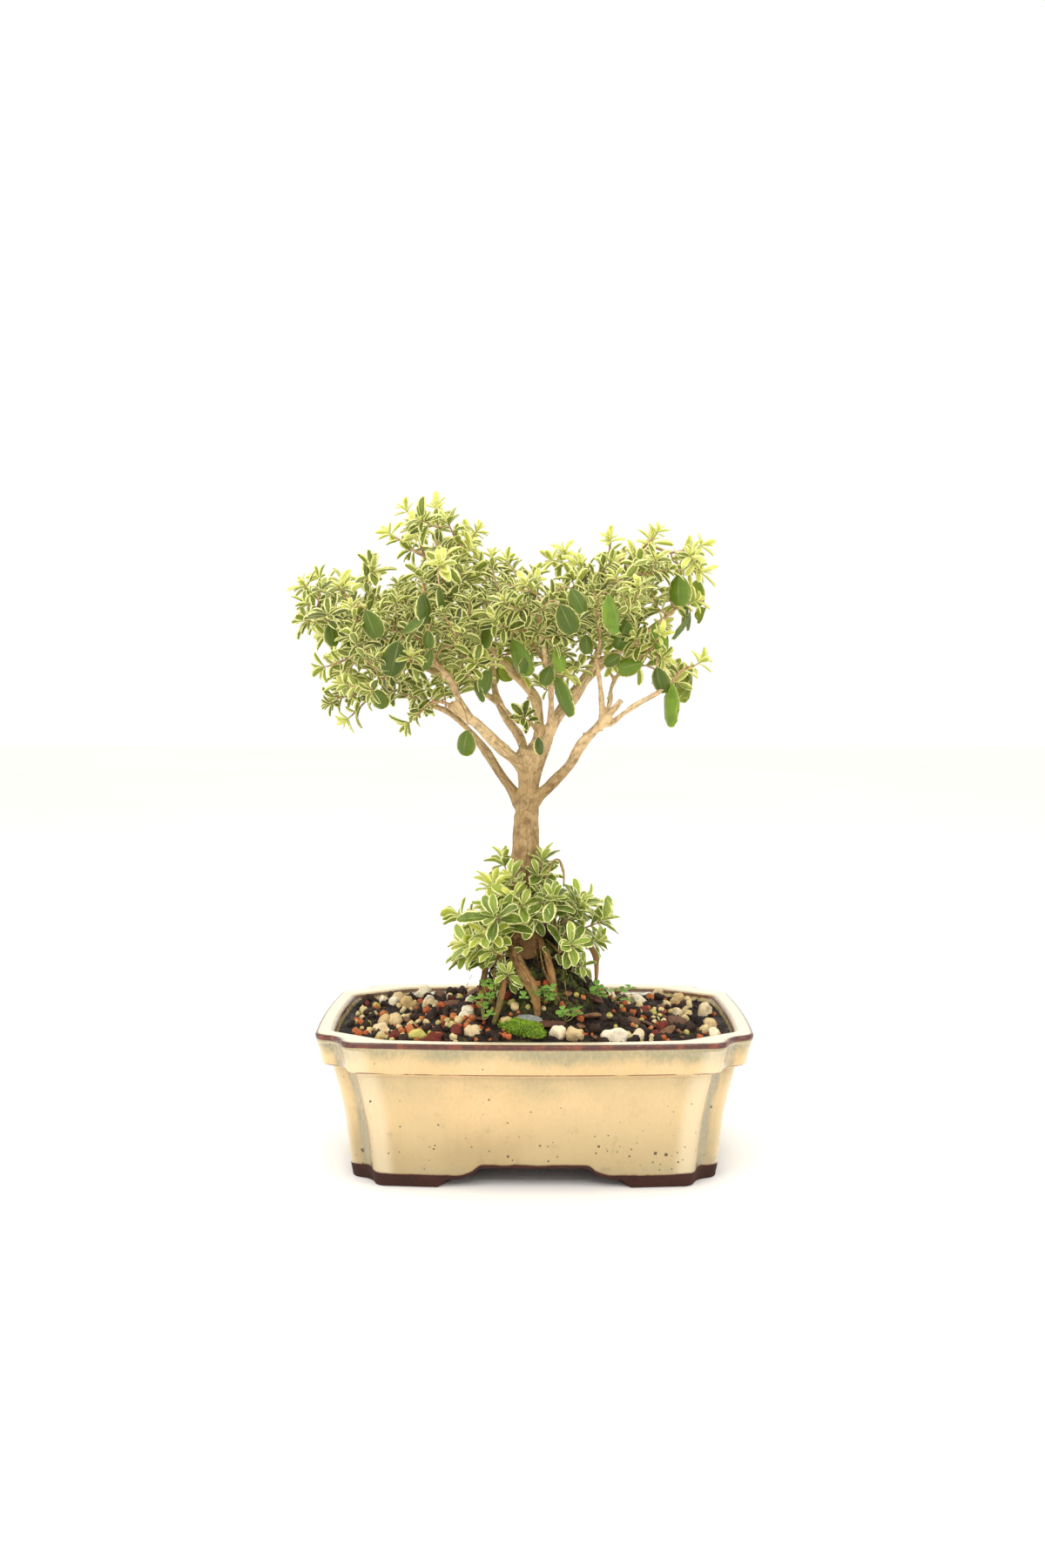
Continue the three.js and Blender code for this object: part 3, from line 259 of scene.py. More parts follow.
class BonsaiGroundLook(bpy.types.PropertyGroup):
    soil: colour_property("Soil", "Colour of the wet soil", "2a1c12")
    pumice: colour_property("Pumice", "Colour of the pale stones", "ead59c")
    lava: colour_property("Lava", "Colour of the small orange stones", "bb5526")
    scoria: colour_property("Scoria", "Colour of the dark red stones", "6a2a1c")
    chip: colour_property("Bark chips", "Colour of the wood chips", "4f2e1e")
    moss: colour_property("Moss", "Colour of the moss", "769f1c")
    grain: FloatProperty(
        name="Grain", description="Size of a stone of size 1", default=0.001, unit="LENGTH"
    )
    seed: IntProperty(name="Seed", description="Picks where the grit lies", default=8)


class BonsaiTreeLook(bpy.types.PropertyGroup):
    bark: colour_property("Bark", "Colour of the flaking bark", "dfbd8b")
    pale_bark: colour_property("Pale bark", "Colour of the bark's pale flakes", "efd4a4")
    deep_bark: colour_property("Deep bark", "Colour in the bark's cracks", "70502f")
    root: colour_property("Root", "Colour of the bare roots", "a1733f")
    voxel: FloatProperty(
        name="Wood detail", description="Size of the wood's facets", default=0.00064, unit="LENGTH"
    )


class BonsaiLeafLook(bpy.types.PropertyGroup):
    # The dark green also serves as painted shade for leaves deep in the crown
    dark: colour_property("Dark green", "Middle of an old leaf", "2d360a")
    green: colour_property("Green", "Middle of a full-grown leaf", "66761e")
    young: colour_property("Young green", "Middle of a young leaf", "dde266")
    margin: colour_property("Margin", "Edge of a leaf", "fff9a2")
    plain: colour_property("Plain green", "Middle of a large plain leaf", "6c8c1e")
    foot: colour_property("Foot green", "Middle of a leaf at the foot of the tree", "566c24")
    foot_margin: colour_property("Foot margin", "Edge of a leaf at the foot", "fffab0")
    clover: colour_property("Clover", "Colour of the clover", "4a762a")
    size: FloatProperty(
        name="Leaf size", description="Size of a small leaf of size 1", default=1.0, min=0.2, max=3
    )
    spread: FloatProperty(
        name="Size spread", description="How far leaf sizes differ", default=0.18, min=0, max=0.6
    )
    seed: IntProperty(name="Seed", description="Picks the size of each leaf", default=5)


class BonsaiStageLook(bpy.types.PropertyGroup):
    floor: colour_property("Floor", "Colour of the floor", "ffffff")
    key: FloatProperty(name="Main light", description="Power in watts", default=3.5)
    fill: FloatProperty(name="Side light", description="Power in watts", default=2.0)
    sky: FloatProperty(name="Room light", description="Strength of its light", default=1.04)


# Materials


class Tone:
    """A value in a finish. Sums and products of such values become Math nodes."""

    def __init__(self, finish, socket):
        self.finish = finish
        self.socket = socket

    def math(self, operation, *values):
        settings = {"operation": operation}
        return self.finish.node("ShaderNodeMath", settings, dict(enumerate(values)))

    def __add__(self, other):
        return self.math("ADD", self, other)

    __radd__ = __add__

    def __sub__(self, other):
        return self.math("SUBTRACT", self, other)

    def __rsub__(self, other):
        return self.math("SUBTRACT", other, self)

    def __mul__(self, other):
        return self.math("MULTIPLY", self, other)

    __rmul__ = __mul__

    def __truediv__(self, other):
        return self.math("DIVIDE", self, other)

    def larger(self, other):
        return self.math("MAXIMUM", self, other)

    def wave(self):
        """A wave between -1 and 1 over an angle in radians."""
        return self.math("SINE", self)

    def rise(self, low, high):
        """0 up to low and 1 from high on, with a smooth step between them."""
        settings = {"interpolation_type": "SMOOTHSTEP"}
        ends = {"Value": self, "From Min": low, "From Max": high}
        return self.finish.node("ShaderNodeMapRange", settings, ends)


class Finish:
    """A material of the bonsai, whose colour is painted on in layers."""

    def __init__(self, name, **constants):
        self.material = bpy.data.materials.new(name)
        self.material.use_nodes = True
        self.tree = self.material.node_tree
        self.tree.nodes.clear()
        self.shader = self.tree.nodes.new("ShaderNodeBsdfPrincipled")
        output = self.tree.nodes.new("ShaderNodeOutputMaterial")
        self.tree.links.new(self.shader.outputs[0], output.inputs[0])
        for key, value in constants.items():
            self.shader.inputs[key.replace("_", " ")].default_value = value
        self.tone = None

    def node(self, kind, settings, inputs, output=0):
        """Any node: its settings are set first, then its sockets get values or links."""
        made = self.tree.nodes.new(kind)
        for key, value in settings.items():
            setattr(made, key, value)
        for key, value in inputs.items():
            self.feed(made.inputs[key], value)
        return Tone(self, made.outputs[output])

    def feed(self, socket, value):
        """Gives a socket a number, a link, a colour or the hex code of a colour."""
        if isinstance(value, Tone):
            self.tree.links.new(value.socket, socket)
        elif socket.type == "RGBA":
            value = colour(value) if isinstance(value, str) else value
            socket.default_value = (*value[:3], 1)
        else:
            socket.default_value = value

    def give(self, **values):
        """Sets sockets of the shader."""
        for key, value in values.items():
            self.feed(self.shader.inputs[key.replace("_", " ")], value)

    def place(self, stretch=(1, 1, 1)):
        """Object coordinates in millimetres."""
        spot = self.node("ShaderNodeTexCoord", {}, {}, "Object")
        scale = tuple(s / MM for s in stretch)
        return self.node("ShaderNodeMapping", {}, {"Vector": spot, "Scale": scale})

    def height(self):
        """Height over the ground in millimetres."""
        return self.node("ShaderNodeSeparateXYZ", {}, {"Vector": self.place()}, "Z")

    def carried(self, name, output="Fac"):
        return self.node("ShaderNodeAttribute", {"attribute_name": name}, {}, output)

    def cloud(self, where, size, detail=3.0, rough=0.5, twist=0.0):
        """Noise whose features are about size millimetres across."""
        sockets = {"Vector": where, "Scale": 1 / size, "Detail": detail}
        sockets.update({"Roughness": rough, "Distortion": twist})
        return self.node("ShaderNodeTexNoise", {}, sockets)

    def cells(self, where, size, feature="F1", output="Distance"):
        sockets = {"Vector": where, "Scale": 1 / size}
        return self.node("ShaderNodeTexVoronoi", {"feature": feature}, sockets, output)

    def mix(self, share, low, high):
        return self.node("ShaderNodeMix", {"data_type": "RGBA"}, {0: share, 6: low, 7: high}, 2)

    def paint(self, share, over):
        """Lays a colour over the tone so far, as thickly as share says."""
        self.tone = self.mix(share, self.tone, over)

    def part(self, colours, index):
        """One channel of a colour."""
        return self.node("ShaderNodeSeparateColor", {}, {"Color": colours}, index)

    def done(self, roughness, height=None, depth=0.0, strength=1.0):
        """The material, with its tone, its roughness and a bump of that depth in millimetres."""
        self.give(Base_Color=self.tone, Roughness=roughness)
        if height:
            sockets = {"Height": height, "Distance": depth * MM, "Strength": strength}
            self.give(Normal=self.node("ShaderNodeBump", {}, sockets, "Normal"))
        return self.material


def glaze_finish(look):
    """Cream glaze that pools olive grey in the hollows and breaks brown at its edges."""
    finish = Finish("glaze", Coat_Weight=0.35, Coat_Roughness=0.04, IOR=1.5)
    where, height = finish.place(), finish.height()
    crease, outside = finish.carried("crease"), finish.carried("outside")
    band = finish.carried("band").rise(0.2, 0.5)
    body = 1 - band
    soft = finish.cloud(where, 30, 4, 0.6)
    drips = finish.cloud(finish.place((1, 1, 0.2)), 3.6, 5, 0.6)
    fine = finish.cloud(finish.place((1, 1, 0.45)), 1.2, 4, 0.65)
    patches = finish.cloud(finish.place((1, 1, 0.8)), 26, 3, 0.6)
    streaks = finish.cloud(finish.place((1, 1, 0.1)), 5, 2)
    # Cream that darkens towards the feet
    finish.tone = finish.mix(soft.rise(0.3, 0.7), "dcbd8b", look.glaze)
    low = (height + 12 * (soft - 0.5) + 8 * (drips - 0.5)).rise(40, 12)
    finish.paint(low * body * 0.85, look.low_glaze)
    finish.paint(fine.rise(0.42, 0.72) * 0.3, "b39c6c")
    finish.paint(finish.cloud(where, 62, 2).rise(0.42, 0.62) * 0.4 * body, "c4b083")
    # Thick glaze under the rim, under the band, over the feet and in the corners
    reach = 3.6 * (patches - 0.5) + 2.6 * (drips - 0.5)
    under_rim = (height + 1.3 * reach + 5 * (patches - 0.5)).rise(58.5, 65.5) * band
    under_rim = under_rim * (0.72 + 0.28 * patches.rise(0.35, 0.55))
    under_band = (height + 2.5 * reach).rise(40, 54) * 0.5 * body
    under_band = under_band * (0.4 + 0.6 * patches.rise(0.42, 0.66))
    near_clay = (height - 4 * reach).rise(13, 6) * 0.55 * body
    hollow = (crease + 0.5 * (streaks - 0.5) + 0.4 * (soft - 0.5)).rise(0.4, 1.0) * 0.85
    pooled = under_rim.larger(under_band).larger(near_clay).larger(hollow)
    pooled = pooled * (0.72 + 0.3 * fine.rise(0.35, 0.6))
    thickest = (0.5 * drips + 0.5 * streaks + 0.3 * (crease - 0.5)).rise(0.42, 0.75)
    finish.paint(pooled, finish.mix(thickest, look.pooled_glaze, look.deep_glaze))
    # Painted highlight: paler glaze along the shoulders beside each corner's crease
    finish.paint(crease.rise(0.16, 0.3) * crease.rise(0.5, 0.36) * outside * 0.35, look.pale_glaze)
    finish.paint(finish.carried("rim_top") * 0.92, look.pale_glaze)
    wall = finish.mix(drips.rise(0.4, 0.62), "c9b588", "8e8766")
    finish.paint(finish.carried("inside") * 0.8, wall)
    # Stains and pits, most of them near the feet
    near_feet = height.rise(58, 12)
    stain = finish.cloud(where, 8, 4, 0.65).rise(0.55, 0.72) * near_feet * outside
    finish.paint(stain * 0.35, "857b52")
    often = 0.2 + finish.cloud(where, 34, 1).rise(0.42, 0.62)
    chance = (0.02 + near_feet * near_feet * often) * look.pits
    wobble = finish.cloud(where, 0.7, 2)
    pits = []
    for spacing, share in ((2.7, 1.0), (5.2, 0.6)):
        cell = finish.cells(where, spacing, "F1", "Color")
        bite = finish.cells(where, spacing) + 0.2 * (wobble - 0.5) - 0.12 * finish.part(cell, 1)
        chosen = (finish.part(cell, 0) + chance * share).rise(0.97, 0.98)
        pits.append(bite.rise(0.1, 0.04) * chosen)
    pit = pits[0].larger(pits[1]) * outside
    pit_tone = finish.mix(finish.cloud(where, 6).rise(0.4, 0.6), "2b1a0d", "46422c")
    finish.paint(pit * 0.9, pit_tone)
    # Clay that shows through at the lips and the band's step
    ragged = finish.cloud(where, 2.6, 4, 0.6) - 0.5
    lip = (finish.carried("lip") + 0.3 * ragged).rise(0.5, 0.62)
    inner_lip = (finish.carried("inner_lip") + 0.5 * ragged).rise(0.62, 0.78) * 0.85
    broken = finish.cloud(where, 16, 3).rise(0.36, 0.5)
    step = (finish.carried("step") + 0.3 * ragged).rise(0.7, 0.85) * broken * 0.85
    finish.paint((finish.carried("lip") + 0.4 * ragged).rise(0.2, 0.5) * 0.4, "7a6a50")
    dark_edge = finish.mix((crease + 0.6 * (soft - 0.5)).rise(0.1, 0.5), look.edge, "35211a")
    rust = finish.cloud(where, 5, 3).rise(0.45, 0.7) * 0.6
    finish.paint(lip.larger(inner_lip), finish.mix(rust, dark_edge, "8a3f18"))
    finish.paint(step, "6b4228")
    # Bare clay of the feet
    bare = finish.carried("clay") + 0.9 + 1.3 * (finish.cloud(where, 8, 3) - 0.5)
    finish.paint(bare.rise(-0.8, -0.1) * 0.7, "7a4a2c")
    grain = finish.cloud(where, 0.7, 3, 0.7)
    bare_tone = finish.mix(grain.rise(0.35, 0.7), look.clay, "3c2016")
    bare_tone = finish.mix(soft.rise(0.4, 0.75) * 0.4, bare_tone, "552e1e")
    is_bare = bare.rise(-0.1, 0.1)
    finish.paint(is_bare, bare_tone)
    finish.give(Coat_Weight=0.35 * (1 - is_bare))
    ripple = finish.cloud(finish.place((1, 1, 0.7)), 12, 2)
    waves = ripple + 0.1 * fine - 0.7 * pit + 0.35 * is_bare * grain
    return finish.done(0.14 + 0.1 * pooled + 0.76 * is_bare + 0.1 * pit, waves, 0.3, 0.8)


def soil_finish(look):
    finish = Finish("soil", IOR=1.4)
    where = finish.place()
    crumbs = finish.cloud(where, 1.6, 5, 0.7)
    patches = finish.cloud(where, 9, 3, 0.6)
    finish.tone = finish.mix(crumbs.rise(0.4, 0.72), "140d08", look.soil)
    finish.paint(patches.rise(0.5, 0.75) * 0.6, "4a3420")
    fleck = finish.cells(where, 1.9)
    finish.paint(fleck.rise(0.16, 0.1) * 0.6, "84603c")
    algae = finish.cloud(where, 13, 3).rise(0.54, 0.66) * finish.cloud(where, 1.2, 3).rise(0.4, 0.6)
    finish.paint(algae * 0.6, "5b5a20")
    mossy = (patches + 0.2 * (crumbs - 0.5)).rise(0.42, 0.56) * finish.height().rise(74, 82)
    finish.paint(mossy * 0.7, finish.mix(crumbs.rise(0.4, 0.6), "35401a", "6f7c28"))
    return finish.done(0.95 - 0.35 * patches.rise(0.4, 0.6), crumbs + 0.5 * fleck, 1.0)


def stone_finish(look, name, low, high, spot, grain=0.9, rough=0.85):
    """Stone that varies from piece to piece, with pores and a few darker spots. low may
    name a colour of the look."""
    finish = Finish(name, IOR=1.45)
    where = finish.place()
    pores = finish.cloud(where, grain, 4, 0.65)
    patches = finish.cloud(where, 4.5, 3, 0.6)
    finish.tone = finish.mix(finish.carried("tint"), getattr(look, low, low), high)
    finish.paint(patches.rise(0.5, 0.72) * 0.55, spot)
    finish.paint(pores.rise(0.52, 0.3) * 0.45, spot)
    return finish.done(rough - 0.15 * patches, pores, 0.5)


def moss_finish(look):
    finish = Finish("moss", Subsurface_Weight=0.15, Subsurface_Scale=0.001)
    patches = finish.cloud(finish.place(), 3.2, 3)
    tint = finish.carried("tint")
    finish.tone = finish.mix(patches.rise(0.35, 0.7), "7a9c22", look.moss)
    # Painted shade low on each shoot and a painted highlight at its tip, from the tint that rises along
    # each blade
    finish.paint(tint.rise(0.6, 0.25) * 0.75, "3c5212")
    finish.paint(tint.rise(0.6, 1.0) * 0.8, "aacb3a")
    return finish.done(0.75 + 0.1 * patches)


def bark_finish(look):
    """Flaking tan bark over darker cracks, turning to brown roots below the crown."""
    finish = Finish("bark", IOR=1.4)
    sockets = {"Vector": finish.carried("grain", "Vector"), "Scale": (1, 1, 0.3)}
    along = finish.node("ShaderNodeMapping", {}, sockets)
    where = finish.place()
    clear = 1 - finish.carried("meeting").rise(0.0, 0.5)
    flakes = 0.5 + clear * (finish.cloud(along, 2.6, 5, 0.62, 0.4) - 0.5)
    fibres = 0.5 + clear * (finish.cloud(along, 0.8, 4, 0.65) - 0.5)
    rings = finish.cells(along, 3.4, "DISTANCE_TO_EDGE")
    broad = finish.cloud(where, 14, 3)
    cracks = rings.rise(0.12, 0.0) * flakes.rise(0.35, 0.6) * clear
    height = finish.height() + 14 * (broad - 0.5)
    below_limbs = height.rise(210, 176)
    finish.tone = finish.mix(flakes.rise(0.38, 0.62), look.bark, look.pale_bark)
    finish.paint(broad.rise(0.45, 0.7) * 0.35, "b08e68")
    finish.paint(fibres.rise(0.54, 0.36) * 0.6, "8a6b4c")
    finish.paint(cracks * (0.35 + 0.3 * below_limbs), look.deep_bark)
    # The hollows darken: the cracks in their own colour, the dips of the relief as painted shade
    finish.paint(finish.carried("hollow").rise(0.3, 0.8) * 0.5 * clear, look.deep_bark)
    finish.paint(height.rise(212, 180) * 0.7, "8a6f40")
    blotch = (finish.cloud(where, 5.5, 4, 0.65) + 0.4 * (fibres - 0.5)).rise(0.52, 0.62)
    finish.paint(blotch * (0.14 + 0.46 * below_limbs), "6a4f30")
    root = finish.mix(flakes.rise(0.35, 0.65), "33200f", look.root)
    root = finish.mix((fibres + 0.3 * (broad - 0.5)).rise(0.5, 0.7) * 0.7, root, "c4955f")
    finish.paint(height.rise(128, 108) * 0.85, root)
    green = (finish.cloud(where, 7, 3) - 0.1 * (height - 95) / 20).rise(0.55, 0.68)
    finish.paint(green * height.rise(118, 96) * 0.45, "5b6a2c")
    relief = 0.7 * flakes + 0.45 * fibres - 0.4 * cracks - 0.3 * blotch
    return finish.done(0.86 - 0.12 * flakes, relief, 0.75)


def twig_finish():
    finish = Finish("twig", IOR=1.4)
    speckle = finish.cloud(finish.place(), 0.9, 3)
    finish.tone = finish.mix(speckle.rise(0.35, 0.65), "9c7854", "c9a87a")
    finish.paint(finish.carried("tint").rise(0.45, 0.8), "b3b764")
    return finish.done(0.75 - 0.1 * speckle, speckle, 0.25)


def leaf_finish(name, middle, margin, edge_from, rib_share=0.4, vein_share=0.12, glow=0.24):
    """A leaf with a pale margin, a paler rib, side veins and a paler underside. It glows
    faintly, most at its margin, as a thin leaf does when light comes through it."""
    finish = Finish(name, Subsurface_Weight=0.25, Subsurface_Scale=0.0015, IOR=1.42)
    finish.shader.inputs["Subsurface Radius"].default_value = (0.9, 1.0, 0.25)
    where = finish.place()
    edge, along = finish.carried("edge"), finish.carried("along")
    tint, under = finish.carried("tint"), finish.carried("under")
    patch = finish.cloud(where, 4.5, 2)
    reach = edge + 0.26 * (finish.cloud(where, 1.7, 3) - 0.5) + 0.14 * tint
    pale = reach.rise(edge_from, edge_from + 0.08).larger(along.rise(0.965, 1.0))
    finish.tone = finish.mix(tint.rise(0.0, 0.5), middle[0], middle[1])
    finish.paint(tint.rise(0.5, 1.0), middle[2])
    finish.paint(patch.rise(0.42, 0.66) * 0.4, middle[1])
    veins = (along * 52 - edge * 9).wave().rise(0.72, 1.0) * edge.rise(0.0, 0.2)
    finish.paint(veins * vein_share, middle[2])
    rib = edge.rise(0.1, 0.0) * along.rise(1.0, 0.4)
    finish.paint(rib * rib_share, margin)
    finish.paint(pale, margin)
    finish.paint(under * 0.4, "b9c468")
    finish.give(Emission_Color=finish.mix(0.15 + 0.85 * pale, "000000", finish.tone))
    finish.shader.inputs["Emission Strength"].default_value = glow
    relief = 1 - veins * min(0.6, 5 * vein_share) - 0.7 * rib
    return finish.done(0.36 + 0.22 * under + 0.1 * patch, relief, 0.16, 0.7)


def screen_finish():
    finish = Finish("screen", IOR=1.45)
    scuff = finish.cloud(finish.place(), 1.1, 3)
    finish.tone = finish.mix(scuff.rise(0.4, 0.7), "252927", "454c48")
    return finish.done(0.5 + 0.2 * scuff, scuff, 0.1)


def floor_finish(look):
    finish = Finish("floor")
    finish.tone = finish.mix(finish.cloud(finish.place(), 900, 2), look.floor, "fcf8f2")
    return finish.done(0.9)


# Meshes


def to_frame(point):
    """A point in millimetres from the pot's middle, as a place in the frame."""
    return MIDDLE + Vector(point) * MM


def plain_mesh(name, points, faces, layers=None, smooth=True):
    """A mesh from points in metres. layers holds a number or a vector for each point."""
    mesh = bpy.data.meshes.new(name)
    mesh.from_pydata(points, [], faces)
    for key, values in (layers or {}).items():
        add_layer(mesh, key, values)
    mesh.shade_smooth() if smooth else mesh.shade_flat()
    return mesh


def new_mesh(name, points, faces, layers=None):
    """A smooth mesh from points in millimetres from the pot's middle."""
    return plain_mesh(name, [to_frame(p) for p in points], faces, layers)


def quads(rows, around):
    """Faces between rows of points, each row a closed ring."""
    faces = []
    for j in range(rows - 1):
        for i in range(around):
            a, b = j * around + i, j * around + (i + 1) % around
            faces.append((a, b, b + around, a + around))
    return faces


def add_layer(mesh, name, values):
    """A number or a vector for each point of a mesh."""
    if hasattr(values[0], "__len__"):
        layer = mesh.attributes.new(name, "FLOAT_VECTOR", "POINT")
        layer.data.foreach_set("vector", [c for v in values for c in v])
    else:
        layer = mesh.attributes.new(name, "FLOAT", "POINT")
        layer.data.foreach_set("value", values)


def outward(mesh):
    """Turns the faces of a closed mesh outwards."""
    shell = bmesh.new()
    shell.from_mesh(mesh)
    bmesh.ops.recalc_face_normals(shell, faces=shell.faces)
    shell.to_mesh(mesh)
    shell.free()


def add_object(name, data):
    made = bpy.data.objects.new(name, data)
    bpy.context.scene.collection.objects.link(made)
    return made


def show(name, mesh, slot, nodes, *finishes):
    """A finished piece: it rides on the root body and stands for its solids."""
    mesh.name = name
    for material in finishes:
        mesh.materials.append(material)
    piece = add_object(name, mesh)
    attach(piece, "root")
    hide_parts(*nodes)


def helper(name, mesh):
    """An object that only lends its shape to a Geometry Nodes tree."""
    lent = add_object(name, mesh)
    lent.hide_render = True
    return lent


def drop(*objects):
    for thing in objects:
        mesh = thing.data
        bpy.data.objects.remove(thing)
        if mesh.users == 0:
            bpy.data.meshes.remove(mesh)


# Geometry Nodes


class Plan:
    """A Geometry Nodes tree while it is built, with its named inputs."""

    def __init__(self, name):
        self.tree = bpy.data.node_groups.new(name, "GeometryNodeTree")
        for way in ("OUTPUT", "INPUT"):
            self.new_socket("Geometry", way, "Geometry")
        self.source = self.tree.nodes.new("NodeGroupInput")
        self.sink = self.tree.nodes.new("NodeGroupOutput")
        self.keys = {}

    def new_socket(self, name, way, kind):
        kind = "NodeSocket" + kind
        return self.tree.interface.new_socket(name=name, in_out=way, socket_type=kind)

    def ask(self, name, kind, default=None):
        """A named input of the tree."""
        socket = self.new_socket(name, "INPUT", kind)
        if default is not None:
            socket.default_value = default
        self.keys[name] = socket.identifier
        return self.source.outputs[name]

    def node(self, kind, settings, inputs, output=0):
        made = self.tree.nodes.new(kind)
        for key, value in settings.items():
            setattr(made, key, value)
        for key, value in inputs.items():
            for one in value if isinstance(value, list) else [value]:
                if isinstance(one, bpy.types.NodeSocket):
                    self.tree.links.new(one, made.inputs[key])
                else:
                    made.inputs[key].default_value = one
        return made.outputs[output]

    def carried(self, name, kind="FLOAT"):
        return self.node("GeometryNodeInputNamedAttribute", {"data_type": kind}, {"Name": name})

    def math(self, operation, first, second):
        return self.node("ShaderNodeMath", {"operation": operation}, {0: first, 1: second})

    def chance(self, low, high, seed):
        """A random number for each point."""
        sockets = {2: low, 3: high, 8: seed}
        return self.node("FunctionNodeRandomValue", {"data_type": "FLOAT"}, sockets, 1)

    def lent(self, name):
        """The shape of an object that the tree asks for."""
        return self.node("GeometryNodeObjectInfo", {}, {"Object": self.ask(name, "Object")}, "Geometry")

    def pipes(self, mesh, sides, radius, **more):
        """Round bars along a mesh's edges."""
        curves = self.node("GeometryNodeMeshToCurve", {}, {"Mesh": mesh})
        sockets = {"Resolution": sides, "Radius": radius}
        ring = self.node("GeometryNodeCurvePrimitiveCircle", {}, sockets, "Curve")
        sockets = {"Curve": curves, "Profile Curve": ring, "Fill Caps": True, **more}
        return self.node("GeometryNodeCurveToMesh", {}, sockets)

    def clad(self, geometry, finish):
        """Real geometry in a finish that the tree asks for."""
        real = self.node("GeometryNodeRealizeInstances", {}, {"Geometry": geometry})
        sockets = {"Geometry": real, "Material": self.ask(finish, "Material")}
        return self.node("GeometryNodeSetMaterial", {}, sockets)

    def join(self, parts):
        return self.node("GeometryNodeJoinGeometry", {}, {"Geometry": parts})

    def finish(self, geometry):
        self.tree.links.new(geometry, self.sink.inputs[0])
        return self

    def run(self, carrier, values):
        """Runs the tree on an object, which is dropped, and returns the result as a mesh."""
        modifier = carrier.modifiers.new(self.tree.name, "NODES")
        modifier.node_group = self.tree
        for name, value in values.items():
            modifier[self.keys[name]] = value
        graph = bpy.context.evaluated_depsgraph_get()
        mesh = bpy.data.meshes.new_from_object(
            carrier.evaluated_get(graph), preserve_all_data_layers=True, depsgraph=graph
        )
        drop(carrier)
        for name in ("turn", "size", "kind", "thick"):
            if name in mesh.attributes:
                mesh.attributes.remove(mesh.attributes[name])
        return mesh


def repeat_plan(name, shapes, with_twigs):
    """Puts a shape on each loose point, by the point's kind, turn and size. With twigs,
    the mesh's edges become tapered stems, as thick as their points say."""
    plan = Plan(name)
    size = plan.ask("Size", "Float", 1.0)
    spread = plan.ask("Size Spread", "Float", 0.1)
    seed = plan.ask("Seed", "Int", 1)
    points = plan.source.outputs["Geometry"]
    kind = plan.carried("kind", "INT")
    turn = {"Euler": plan.carried("turn", "FLOAT_VECTOR")}
    rotation = plan.node("FunctionNodeEulerToRotation", {}, turn)
    chance = plan.chance(plan.math("SUBTRACT", 1.0, spread), plan.math("ADD", 1.0, spread), seed)
    scale = plan.math("MULTIPLY", plan.math("MULTIPLY", plan.carried("size"), size), chance)
    parts = []
    for index, shape in enumerate(shapes):
        same = {"data_type": "INT", "operation": "EQUAL"}
        chosen = plan.node("FunctionNodeCompare", same, {2: kind, 3: index})
        sockets = {"Points": points, "Selection": chosen, "Instance": plan.lent(shape + " Shape")}
        sockets.update({"Rotation": rotation, "Scale": scale})
        placed = plan.node("GeometryNodeInstanceOnPoints", {}, sockets)
        parts.append(plan.clad(placed, shape + " Finish"))
    if with_twigs:
        stems = plan.pipes(points, plan.ask("Twig Sides", "Int", 6), 1.0, Scale=plan.carried("thick"))
        parts.append(plan.clad(stems, "Twig Finish"))
    return plan.finish(plan.join(parts))


class Growth:
    """Twigs and placed shapes while a piece grows, in millimetres."""

    def __init__(self):
        self.points, self.edges, self.kind, self.turn = [], [], [], []
        self.measures = {"size": [], "tint": [], "thick": []}

    def add_point(self, point, kind, turn, size, tint, thick=0.0):
        self.points.append(Vector(point))
        self.kind.append(kind)
        self.turn.append(turn)
        for values, value in zip(self.measures.values(), (size, tint, thick * MM)):
            values.append(value)

    def put(self, point, axes, size, kind, tint):
        """A shape whose own x, y and z lie along the three axes."""
        turn = Matrix(axes).transposed().to_euler("XYZ")
        self.add_point(point, kind, tuple(turn), size, tint)

    def twig(self, line, thick, thin, tint):
        first, last = len(self.points), len(line) - 1
        for i, point in enumerate(line):
            self.add_point(point, -1, (0, 0, 0), 1, tint, thick + (thin - thick) * (i / last))
        self.edges.extend((first + i, first + i + 1) for i in range(last))

    def carrier(self, name):
        mesh = bpy.data.meshes.new(name)
        mesh.from_pydata([to_frame(p) for p in self.points], self.edges, [])
        layer = mesh.attributes.new("kind", "INT", "POINT")
        layer.data.foreach_set("value", self.kind)
        add_layer(mesh, "turn", self.turn)
        for key, values in self.measures.items():
            add_layer(mesh, key, values)
        return helper(name, mesh)


# Curves


